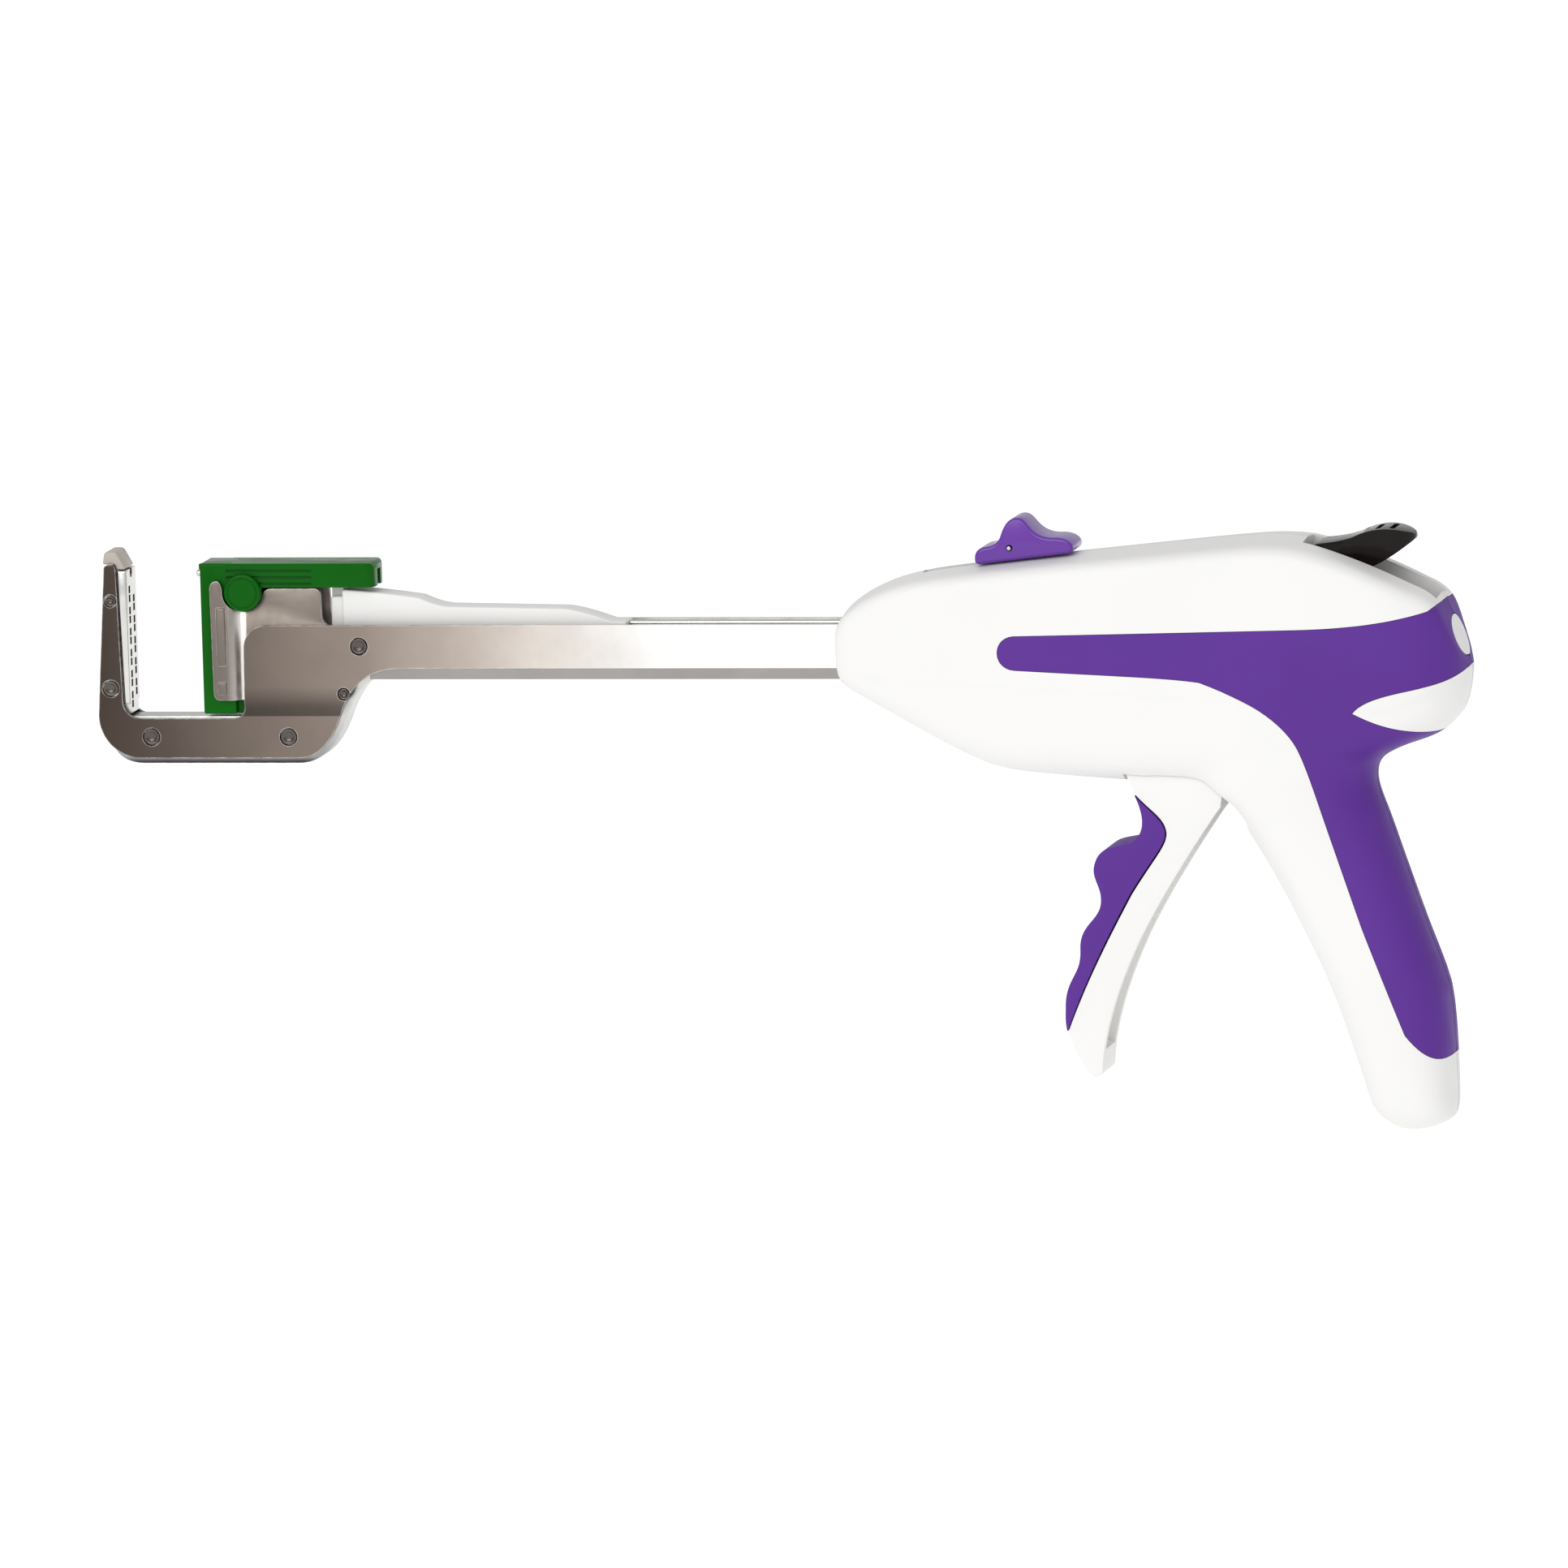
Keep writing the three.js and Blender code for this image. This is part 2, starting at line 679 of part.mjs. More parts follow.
function carrierSolid() {
  const { rearInner, frontInner, thick, bottom, rear } = carrier;
  const flange = outline([
    [-275, -frontInner],
    [-266.1, -frontInner],
    [-264, -rearInner],
    [rear, -rearInner],
    [rear, -rearInner - thick],
    [-264.4, -rearInner - thick],
    [-266.5, -frontInner - thick],
    [-275, -frontInner - thick],
  ]);
  const side = outline([
    [-271.4, 73.9],
    [-271.2, 75.6, -269.6, 75.6],
    [-268.4, 75.3, -268.4, 72.2],
    [-267.8, 68.8, -263.5, 68.1],
    [-259.6, 68.7, -258.9, 72.3],
    [-258.4, 73.6, -256.8, 73.6],
    [-246.5, 73.6],
    [-245.1, 73.6, -245, 71.8],
    [-244.9, 67],
    [-244.6, 65.6, rear, 65],
    [rear, bottom],
    [-269.4, bottom],
    [-271, bottom, -271.1, 49],
  ]);
  const left = planSolid(flange, 20, 90).intersect(sideSolid(side, -20, 20));
  const web = block(-260, rear, -rearInner - 0.2, rearInner + 0.2, bottom, bottom + 1.2);
  const face = -frontInner - thick;
  const rib = block(-270, -267.8, face - 0.35, face + 0.2, 55.5, 69.3);
  const dimple = block(-270, -267.8, face - 0.35, face + 0.2, 48.7, 51.6);
  const near = join(left, rib, dimple);
  return cut(join(near, mirrored(near), web), crossBar(-250, 55, 1.5, -9, 9, 12));
}

// Bars inside the shaft.

function closingBarSolid() {
  const strap = block(-256, -50, -2.6, 2.6, 53.6, 56.4);
  const fork = block(-54, -22, -4.1, 4.1, 53.6, 65);
  const forkGap = block(-50, -20, -2.9, 2.9, 50, 70);
  const pinSlot = block(drivePin.x - 2.05, drivePin.x + 2.05, -9, 9, 56.6, 62.3);
  const bossEnd = block(-256, -246, -4, 4, 53.6, 56.4);
  return cut(join(strap, fork, bossEnd), forkGap, pinSlot, crossBar(-250, 55, 1.05, -9, 9, 12));
}

function firingBarSolid() {
  const bar = block(-261.4, -58, -2.4, 2.4, 57, 63.2);
  const head = block(-261.6, -260.2, -2.5, 2.5, 50.6, 62.5);
  const notch = block(-66, -62, -9, 9, 61.4, 70);
  const rivetSlot = block(-237.8, -213.4, -9, 9, 58.2, 62);
  const frontTrim = block(-263, -252, -9, 9, 62.4, 70);
  return cut(join(bar, head), notch, rivetSlot, frontTrim);
}

function pinPusherSolid() {
  const shape = outline([
    [-243.1, 64],
    [-243.1, 73.1],
    [-240.3, 73.2],
    [-231, 72.6, -221.6, 71.2],
    [-217.5, 69.3, -214.5, 69.1],
    [-186.9, 68.6],
    [-183, 68.2, -175.7, 65.6],
    [-172, 65.5],
    [-172, 64],
  ]);
  const tab = block(-243.1, -240.4, -1.4, 1.4, 72, 78.2);
  return sideSolid(shape, -4, 4).add(tab);
}

function pinRodSolid() {
  const rod = longBar(-171.7, -76, 64.7, 0.75, 8);
  const post = block(-79, -76, -1.1, 1.1, 64, 75);
  return rod.add(post);
}

// Trigger.

function triggerOutline() {
  return outline([
    [-52, 28],
    [-50.6, 25],
    [-47, 21, -43.8, 19.6, -43.5, 16],
    [-43.5, 13, -46.4, 10.4, -52.1, 1.6],
    [-60, -12.4, -64.4, -21.4, -68.1, -30.8],
    [-66.8, -37, -61.9, -42],
    [-60, -41.4, -60.9, -38.9],
    [-59.5, -27, -50.5, -9],
    [-44, 3.4, -32.1, 20.2],
    [-30.6, 22],
    [-29.6, 28],
    [-32, 44],
    [-40, 42],
    [-47, 43, -52.4, 38],
    [-54.4, 33, -52, 28],
  ]);
}

function triggerSolid() {
  const grip = sideSolid(triggerOutline(), -8, 8, 0.6);
  const hollow = sideSolid(
    outline([
      [-48, 26],
      [-43.5, 22, -41, 20, -41, 16],
      [-41, 13, -44, 10, -49.6, 1.6],
      [-57.5, -12.4, -61.6, -21.4, -65, -31.6],
      [-63.8, -36, -62.2, -37.6],
      [-40, -44],
      [-10, 10],
      [-26, 26],
    ]),
    -5.8,
    5.8,
  );
  const armShape = outline([
    [-41.5, 33],
    [-33.2, 60.2],
    [-32.4, 63.6, -28, 63],
    [-24.2, 62.2, -25, 57.6],
    [-31.5, 33],
  ]);
  const armPiece = sideSolid(armShape, -2.5, 2.5);
  const headRelief = [
    block(-60, -20, -9, -2.5, 38.6, 50),
    block(-60, -20, 2.5, 9, 38.6, 50),
  ];
  return cut(
    join(cut(grip, hollow, ...headRelief), armPiece),
    crossBar(pivot.x, pivot.z, pivot.radius + 0.3, -9, 9, 20),
    crossBar(drivePin.x, drivePin.z, drivePin.radius + 0.1, -9, 9),
  );
}

// A finger pad with two waves along its front.
function triggerGripSolid() {
  const shape = outline([
    [-50.9, 24.9],
    [-48.4, 19.5, -48.6, 15.4, -52.5, 13.5],
    [-56, 12.6, -60.2, 13.2, -61.1, 7.6],
    [-61.3, 4.6, -59.2, 3.2, -59.6, -0.6],
    [-60.2, -4.8, -64.9, -5.6, -64.8, -11.4],
    [-64.6, -18, -68.8, -18, -68.7, -26],
    [-68.9, -29, -68.4, -30.9],
    [-64.8, -21.4, -60.4, -12.2, -52.5, 1.8],
    [-46.8, 10.6, -43.9, 13.1, -43.9, 16],
    [-44.2, 19.3, -47.4, 20.8, -50.9, 24.9],
  ]);
  return sideSolid(shape, -8.2, 8.2, 0.3);
}

// Thumb slide, release lever and latch.

function thumbSlideSolid() {
  const saddle = outline([
    [-86.4, 79.1],
    [-87.9, 79.6, -87.5, 81.3],
    [-86.6, 82.8, -83.6, 83.4],
    [-82.3, 86, -81.6, 88.6, -78.2, 90.6],
    [-76, 91.1, -73.4, 87.6, -69.3, 85.8],
    [-64.6, 85.6, -63.3, 83.2],
    [-63, 82.2, -64.4, 81.5],
  ]);
  const stem = block(-80.8, -71.4, -2, 2, 72, 82);
  const fork = block(-79.7, -75.3, -1.6, 1.6, 70, 77.6);
  return cut(
    join(sideSolid(saddle, -6.6, 6.6, 0.6), stem),
    fork,
    crossBar(-79.5, 83, 0.8, -9, 9, 12),
  );
}

function releaseLeverSolid() {
  const shape = outline([
    [-8.2, 81.4],
    [-8, 83.9, -5.4, 84],
    [-1, 84.4, 2.1, 85.4],
    [9.5, 89.2, 17.1, 85.2],
    [13, 81.8, 7.6, 78.6],
    [7.2, 77.2],
    [2, 78, -2, 78.6],
    [-8, 77.4, -8.2, 81.4],
  ]);
  const slots = [3.6, 7, 10.4].map((x) => block(x, x + 1.5, -4.4, 4.4, 85.9, 90));
  const pinHole = crossBar(leverPivot.x, leverPivot.z, 1.5, -9, 9);
  return cut(sideSolid(shape, -6.4, 6.4, 0.7), pinHole, ...slots);
}

function releaseTongueSolid() {
  const shape = outline([[3.2, 77.3], [6.4, 76.7], [5.4, 72.4], [3.2, 72.4]]);
  return sideSolid(shape, -2.6, 2.6);
}

function latchPawlSolid() {
  const shape = outline([
    [-18.5, 72],
    [-18.5, 74.6, -16, 74.6],
    [-12, 74.4, -8, 72],
    [5.6, 71.4],
    [5.6, 69.4],
    [-10, 69.2],
    [-14, 69.2],
    [-20, 68.4],
    [-24, 66],
    [-25, 68.4],
  ]);
  const pinHole = crossBar(latchPivot.x, latchPivot.z, latchPivot.radius + gap, -9, 9);
  return cut(sideSolid(shape, -2.2, 2.2), pinHole);
}

// A close-wound spring between the closing bar and the anchor pin.
function springSolid() {
  const turns = 6;
  const steps = 8;
  const radius = 2.3;
  const start = -20;
  const length = 16.5;
  const points = [];
  for (let k = 0; k <= turns * steps; k += 1) {
    const angle = (2 * Math.PI * k) / steps;
    const x = start + (length * k) / (turns * steps);
    const z = springAnchor.z + radius * Math.sin(angle);
    points.push(new THREE.Vector3(x, radius * Math.cos(angle), z));
  }
  const wire = new THREE.Shape();
  wire.absarc(0, 0, 0.4, 0, 2 * Math.PI, false);
  const path = new THREE.CatmullRomCurve3(points);
  const options = {
    steps: turns * steps,
    curveSegments: 3,
    extrudePath: path,
    bevelEnabled: false,
  };
  return toSolid(new THREE.ExtrudeGeometry(wire, options));
}

// Assembly.

const stapler = new THREE.Group();
stapler.name = "long_reach_stapler";

function place(name, solid, look, group = stapler) {
  const mesh = new THREE.Mesh(toGeometry(solid), look);
  mesh.name = name;
  group.add(mesh);
}

function group(name) {
  const made = new THREE.Group();
  made.name = name;
  stapler.add(made);
  return made;
}

const housing = group("housing");
const leftShell = shellSolid();
place("left_shell", leftShell, whitePlastic, housing);
place("right_shell", rightShellSolid(leftShell), whitePlastic, housing);
place("left_grip", leftGripSolid, purpleRubber, housing);
const gripWells = screwPlaces.map(([x, z]) => crossBar(x, z, 3.1, 5, 30));
place("right_grip", cut(mirrored(leftGripSolid), ...gripWells), purpleRubber, housing);
place("rear_inlay", inlayPlug(0, -1.6, 0.4), whitePlastic, housing);
screwPlaces.forEach((spot, k) =>
  place(`housing_screw_${k + 1}`, housingScrew(spot), polishedSteel, housing),
);

const frame = group("jaw_and_shaft");
const leftPlate = leftPlateSolid();
place("left_side_plate", leftPlate, plateSteel, frame);
place("right_side_plate", mirrored(leftPlate), plateSteel, frame);
place("jaw_spacer", spacerSolid(), palePlastic, frame);
place("shaft_channel", channelSolid(), polishedSteel, frame);
place("anvil", anvilSolid(), polishedSteel, frame);
place("anvil_cap", anvilCapSolid(), palePlastic, frame);
Object.entries(rivetPlaces).forEach(([name, spot]) =>
  place(name, rivet(spot, plate.jawInner + plate.thick, 0.9), polishedSteel, frame),
);
const shaftOuter = plate.shaftInner + plate.thick;
place("shaft_rivet", rivet(shaftRivet, shaftOuter, 1.5), polishedSteel, frame);
place("guide_pin", rivet(guidePin, shaftOuter, 0.8), polishedSteel, frame);

const closing = group("closing_parts");
place("cartridge_carrier", carrierSolid(), plateSteel, closing);
place("cartridge", cartridgeSolid(), greenPlastic, closing);
place("closing_bar", closingBarSolid(), polishedSteel, closing);
place("carrier_pin", crossBar(-250, 55, 0.9, -5.4, 5.4, 12), polishedSteel, closing);

const firing = group("firing_parts");
place("firing_bar", firingBarSolid(), polishedSteel, firing);
place("staple_driver", driverSolid(), palePlastic, firing);
for (let k = 0; k < staples.count; k += 1) {
  place(`staple_${String(k + 1).padStart(2, "0")}`, stapleSolid(k), polishedSteel, firing);
}

const pinParts = group("pin_parts");
const retainingPin = longBar(-275.9, -243.4, pinAxisZ - 0.2, 0.85, 10);
place("retaining_pin", retainingPin, polishedSteel, pinParts);
place("pin_pusher", pinPusherSolid(), whitePlastic, pinParts);
place("pin_rod", pinRodSolid(), polishedSteel, pinParts);

const controls = group("controls");
place("trigger", triggerSolid(), whitePlastic, controls);
place("trigger_grip", triggerGripSolid(), purpleRubber, controls);
const crossPin = ({ x, z, radius }, reach, segments = 12) =>
  crossBar(x, z, radius, -reach, reach, segments);
place("trigger_pivot_pin", crossPin(pivot, 11.2, 20), polishedSteel, controls);
place("trigger_drive_pin", crossPin(drivePin, 4), polishedSteel, controls);
place("return_spring", springSolid(), polishedSteel, controls);
place("spring_anchor_pin", crossPin(springAnchor, 11.2), polishedSteel, controls);
place("thumb_slide", thumbSlideSolid(), purpleGloss, controls);
place("thumb_slide_pin", crossBar(-79.5, 83, 0.5, -6.7, 6.7, 12), polishedSteel, controls);
place("release_lever", releaseLeverSolid(), blackPlastic, controls);
place("release_tongue", releaseTongueSolid(), polishedSteel, controls);
place("release_pivot_pin", crossPin(leverPivot, 9.3), polishedSteel, controls);
place("latch_pawl", latchPawlSolid(), polishedSteel, controls);
place("latch_pin", crossPin(latchPivot, 11.2), polishedSteel, controls);

export default stapler;
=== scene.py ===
import json
import math

import bmesh
import bpy
from mathutils import Matrix, Vector

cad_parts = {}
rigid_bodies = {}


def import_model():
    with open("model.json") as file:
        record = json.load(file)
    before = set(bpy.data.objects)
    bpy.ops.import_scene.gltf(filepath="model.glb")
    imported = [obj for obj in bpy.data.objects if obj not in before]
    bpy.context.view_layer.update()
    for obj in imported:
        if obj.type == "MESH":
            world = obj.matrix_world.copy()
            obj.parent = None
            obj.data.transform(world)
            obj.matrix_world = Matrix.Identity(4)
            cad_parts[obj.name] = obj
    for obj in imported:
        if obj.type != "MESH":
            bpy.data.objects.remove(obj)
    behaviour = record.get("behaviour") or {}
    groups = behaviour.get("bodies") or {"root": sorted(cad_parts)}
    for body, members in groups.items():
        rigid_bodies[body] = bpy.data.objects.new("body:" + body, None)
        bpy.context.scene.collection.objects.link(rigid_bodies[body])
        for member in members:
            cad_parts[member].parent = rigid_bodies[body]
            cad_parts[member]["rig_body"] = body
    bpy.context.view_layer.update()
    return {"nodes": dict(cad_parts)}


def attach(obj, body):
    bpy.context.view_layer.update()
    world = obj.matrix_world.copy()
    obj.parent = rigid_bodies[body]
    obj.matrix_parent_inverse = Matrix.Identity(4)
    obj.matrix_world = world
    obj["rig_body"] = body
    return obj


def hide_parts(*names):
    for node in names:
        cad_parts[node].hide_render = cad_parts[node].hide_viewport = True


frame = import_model()
nodes = frame["nodes"]
mm = 0.001    # lengths below are in millimetres, and a mesh is in metres


# tools for making pieces

def clearSelection():
    if bpy.context.object and bpy.context.object.mode != "OBJECT":
        bpy.ops.object.mode_set(mode="OBJECT")
    bpy.ops.object.select_all(action="DESELECT")


def pick(piece):
    clearSelection()
    piece.select_set(True)
    bpy.context.view_layer.objects.active = piece


def editAll(piece):
    pick(piece)
    bpy.ops.object.mode_set(mode="EDIT")
    bpy.ops.mesh.select_all(action="SELECT")


def leaveEdit():
    bpy.ops.object.mode_set(mode="OBJECT")


def useModifier(piece, kind, **values):
    pick(piece)
    modifier = piece.modifiers.new(kind.lower(), kind)
    for key, value in values.items():
        setattr(modifier, key, value)
    bpy.ops.object.modifier_apply(modifier=modifier.name)


def joinMeshes(pieces):
    clearSelection()
    for piece in pieces:
        piece.select_set(True)
    bpy.context.view_layer.objects.active = pieces[0]
    if len(pieces) > 1:
        bpy.ops.object.join()
    return pieces[0]


def combine(piece, others, operation):
    other = joinMeshes(others)
    useModifier(piece, "BOOLEAN", object=other, operation=operation, solver="EXACT", use_self=False)
    bpy.data.objects.remove(other)
    return piece


def cut(piece, *cutters):
    for cutter in cutters:
        combine(piece, [cutter], "DIFFERENCE")
    return piece


def fuse(piece, *others):
    for other in others:
        combine(piece, [other], "UNION")
    return piece


def softenEdges(piece, width, segments=3, angle=35):
    useModifier(
        piece, "BEVEL", width=width * mm, segments=segments, limit_method="ANGLE",
        angle_limit=math.radians(angle), miter_outer="MITER_ARC", use_clamp_overlap=True,
    )
    return piece


def copyPiece(piece, name):
    made = piece.copy()
    made.data = piece.data.copy()
    made.name = name
    bpy.context.scene.collection.objects.link(made)
    return made


def mirrorPiece(piece, name):
    made = copyPiece(piece, name)
    editAll(made)
    bpy.ops.transform.resize(value=(1, -1, 1), center_override=(0, 0, 0))
    bpy.ops.mesh.flip_normals()
    leaveEdit()
    return made


def readOutline(spec, steps=14):
    points = [spec[0]]
    for part in spec[1:]:
        x0, z0 = points[-1]
        if part[0] == "arc":
            _, cx, cz, radius, start, end = part
            turns = [math.radians(start + (end - start) * k / steps) for k in range(steps + 1)]
            points += [(cx + radius * math.cos(a), cz + radius * math.sin(a)) for a in turns]
        elif len(part) == 2:
            points.append(part)
        elif len(part) == 4:
            x1, z1, x2, z2 = part
            for k in range(1, steps + 1):
                t = k / steps
                s = 1 - t
                a, b, c = s * s, 2 * s * t, t * t
                points.append((a * x0 + b * x1 + c * x2, a * z0 + b * z1 + c * z2))
        else:
            x1, z1, x2, z2, x3, z3 = part
            for k in range(1, steps + 1):
                t = k / steps
                s = 1 - t
                a, b, c, d = s ** 3, 3 * s * s * t, 3 * s * t * t, t ** 3
                points.append((a * x0 + b * x1 + c * x2 + d * x3, a * z0 + b * z1 + c * z2 + d * z3))
    kept = []
    for point in points:
        if not kept or math.dist(point, kept[-1]) > 0.02:
            kept.append(point)
    if math.dist(kept[0], kept[-1]) < 0.02:
        kept.pop()
    return kept


def growOutline(points, distance):
    area = sum(a[0] * b[1] - b[0] * a[1] for a, b in zip(points, points[1:] + points[:1]))
    side = math.copysign(1, area)
    grown = []
    for k, point in enumerate(points):
        before = Vector(point) - Vector(points[k - 1])
        after = Vector(points[(k + 1) % len(points)]) - Vector(point)
        n1 = Vector((before.y, -before.x)).normalized() * side
        n2 = Vector((after.y, -after.x)).normalized() * side
        mean = (n1 + n2).normalized()
        grown.append(tuple(Vector(point) + mean * distance / max(mean.dot(n1), 0.5)))
    return grown


planes = {
    "side": lambda a, b, t: (a, t, b),
    "length": lambda a, b, t: (t, a, b),
    "plan": lambda a, b, t: (a, b, t),
}


def outlineSolid(name, points, start, end, plane="side"):
    clearSelection()
    bpy.ops.mesh.primitive_circle_add(vertices=len(points), radius=mm, fill_type="NGON")
    piece = bpy.context.object
    piece.name = name
    put = planes[plane]
    for vertex, (a, b) in zip(piece.data.vertices, points):
        vertex.co = Vector(put(a, b, start)) * mm
    editAll(piece)
    travel = Vector(put(0, 0, end - start)) * mm
    bpy.ops.mesh.extrude_region_move(TRANSFORM_OT_translate={"value": travel})
    bpy.ops.mesh.select_all(action="SELECT")
    bpy.ops.mesh.normals_make_consistent(inside=False)
    leaveEdit()
    return piece


def block(x0, x1, y0, y1, z0, z1, name="cutter"):
    clearSelection()
    centre = Vector(((x0 + x1) / 2, (y0 + y1) / 2, (z0 + z1) / 2)) * mm
    bpy.ops.mesh.primitive_cube_add(size=1, location=centre)
    piece = bpy.context.object
    piece.name = name
    piece.scale = Vector((x1 - x0, y1 - y0, z1 - z0)) * mm
    bpy.ops.object.transform_apply(location=True, rotation=True, scale=True)
    return piece


def roundBar(x, y, z, radius, length, along="y", sides=32, name="cutter"):
    clearSelection()
    turn = {"x": (0, math.pi / 2, 0), "y": (math.pi / 2, 0, 0), "z": (0, 0, 0)}[along]
    bpy.ops.mesh.primitive_cylinder_add(
        vertices=sides, radius=radius * mm, depth=length * mm,
        location=Vector((x, y, z)) * mm, rotation=turn,
    )
    piece = bpy.context.object
    piece.name = name
    bpy.ops.object.transform_apply(location=True, rotation=True, scale=True)
    return piece


def crossBar(x, z, radius, y0, y1, sides=32, name="cutter"):
    return roundBar(x, (y0 + y1) / 2, z, radius, y1 - y0, "y", sides, name)


def lengthBar(z, radius, x0, x1, sides):
    return roundBar((x0 + x1) / 2, 0, z, radius, x1 - x0, "x", sides)


def loft(name, rings):
    count = len(rings[0])
    clearSelection()
    bpy.ops.mesh.primitive_circle_add(vertices=count, radius=mm, fill_type="NGON")
    piece = bpy.context.object
    piece.name = name
    for vertex, place in zip(piece.data.vertices, rings[0]):
        vertex.co = place * mm
    editAll(piece)
    mesh = bmesh.from_edit_mesh(piece.data)
    places = {tuple(round(c, 7) for c in vertex.co): k for k, vertex in enumerate(mesh.verts)}
    for ring in rings[1:]:
        bpy.ops.mesh.extrude_region_move()
        mesh = bmesh.from_edit_mesh(piece.data)
        fresh = {}
        for vertex in mesh.verts:
            if vertex.select:
                k = places[tuple(round(c, 7) for c in vertex.co)]
                vertex.co = ring[k] * mm
                fresh[tuple(round(c, 7) for c in vertex.co)] = k
        places = fresh
        bmesh.update_edit_mesh(piece.data)
    bpy.ops.mesh.select_all(action="SELECT")
    bpy.ops.mesh.normals_make_consistent(inside=False)
    leaveEdit()
    return piece


def fromNode(node):
    piece = nodes[node].copy()
    piece.data = nodes[node].data.copy()
    piece.name = node + "_finish"
    piece.parent = None
    bpy.context.scene.collection.objects.link(piece)
    editAll(piece)
    bpy.ops.mesh.remove_doubles(threshold=0.002 * mm)
    bpy.ops.mesh.dissolve_limited(angle_limit=math.radians(0.5))
    leaveEdit()
    return piece


def smoothShade(piece, angle=32):
    pick(piece)
    bpy.ops.object.shade_smooth_by_angle(angle=math.radians(angle))
    return piece


def setPiece(piece, node, material, angle=32):
    smoothShade(piece, angle)
    piece.name = node + "_finish"
    piece.data.name = piece.name
    piece.data.materials.clear()
    piece.data.materials.append(material)
    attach(piece, nodes[node]["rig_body"])
    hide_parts(node)
    return piece


# finishes

def startFinish(name, roughness, metallic=0.0, coat=0.0, coatRoughness=0.1):
    material = bpy.data.materials.new(name)
    material.use_nodes = True
    shader = material.node_tree.nodes["Principled BSDF"]
    shader.inputs["Metallic"].default_value = metallic
    shader.inputs["Roughness"].default_value = roughness
    shader.inputs["Coat Weight"].default_value = coat
    shader.inputs["Coat Roughness"].default_value = coatRoughness
    place = material.node_tree.nodes.new("ShaderNodeTexCoord")
    return material, shader, place.outputs["Object"]


def addNoise(material, place, scale, detail=3.0, stretch=(1, 1, 1)):
    tree = material.node_tree
    mapping = tree.nodes.new("ShaderNodeMapping")
    mapping.inputs["Scale"].default_value = stretch
    noise = tree.nodes.new("ShaderNodeTexNoise")
    noise.inputs["Scale"].default_value = scale
    noise.inputs["Detail"].default_value = detail
    tree.links.new(place, mapping.inputs["Vector"])
    tree.links.new(mapping.outputs["Vector"], noise.inputs["Vector"])
    return noise.outputs["Fac"]


def rampColour(material, factor, stops, target):
    tree = material.node_tree
    ramp = tree.nodes.new("ShaderNodeValToRGB")
    while len(ramp.color_ramp.elements) < len(stops):
        ramp.color_ramp.elements.new(0.5)
    for element, (at, colour) in zip(ramp.color_ramp.elements, stops):
        element.position = at
        element.color = (*colour, 1)
    tree.links.new(factor, ramp.inputs["Fac"])
    if target is not None:
        tree.links.new(ramp.outputs["Color"], target)
    return ramp.outputs["Color"]


def mapValue(material, factor, low, high, target, fromLow=0.3, fromHigh=0.7):
    tree = material.node_tree
    span = tree.nodes.new("ShaderNodeMapRange")
    span.inputs["From Min"].default_value = fromLow
    span.inputs["From Max"].default_value = fromHigh
    span.inputs["To Min"].default_value = low
    span.inputs["To Max"].default_value = high
    tree.links.new(factor, span.inputs["Value"])
    if target is not None:
        tree.links.new(span.outputs["Result"], target)
    return span.outputs["Result"]


def addBump(material, shader, height, strength, distance):
    tree = material.node_tree
    bump = tree.nodes.new("ShaderNodeBump")
    bump.inputs["Strength"].default_value = strength
    bump.inputs["Distance"].default_value = distance * mm
    tree.links.new(height, bump.inputs["Height"])
    tree.links.new(bump.outputs["Normal"], shader.inputs["Normal"])


def shade(colour, factor):
    return tuple(min(1.0, c * factor) for c in colour)


def plasticFinish(name, colour, roughness, spread=0.06, grain=900, bump=0.15, coat=0.0, gloss=0.5):
    material, shader, place = startFinish(name, roughness, 0.0, coat)
    shader.inputs["Specular IOR Level"].default_value = gloss
    cloud = addNoise(material, place, 28)
    rampColour(material, cloud, [(0.3, shade(colour, 1 - spread)), (0.7, shade(colour, 1 + spread))],
               shader.inputs["Base Color"])
    mapValue(material, addNoise(material, place, 160), roughness - 0.05, roughness + 0.07,
             shader.inputs["Roughness"])
    addBump(material, shader, addNoise(material, place, grain, 2.0), bump, 0.03)
    return material


def steelFinish(name, colour, roughness, stretch=(1, 1, 1), scratch=0.12, grain=1400, spread=0.08):
    material, shader, place = startFinish(name, roughness, 1.0)
    cloud = addNoise(material, place, 60, 4.0)
    rampColour(material, cloud, [(0.3, shade(colour, 1 - spread)), (0.7, shade(colour, 1 + spread))],
               shader.inputs["Base Color"])
    mapValue(material, addNoise(material, place, 240, 4.0, stretch), roughness - 0.06, roughness + 0.1,
             shader.inputs["Roughness"])
    addBump(material, shader, addNoise(material, place, grain, 3.0, stretch), scratch, 0.03)
    return material


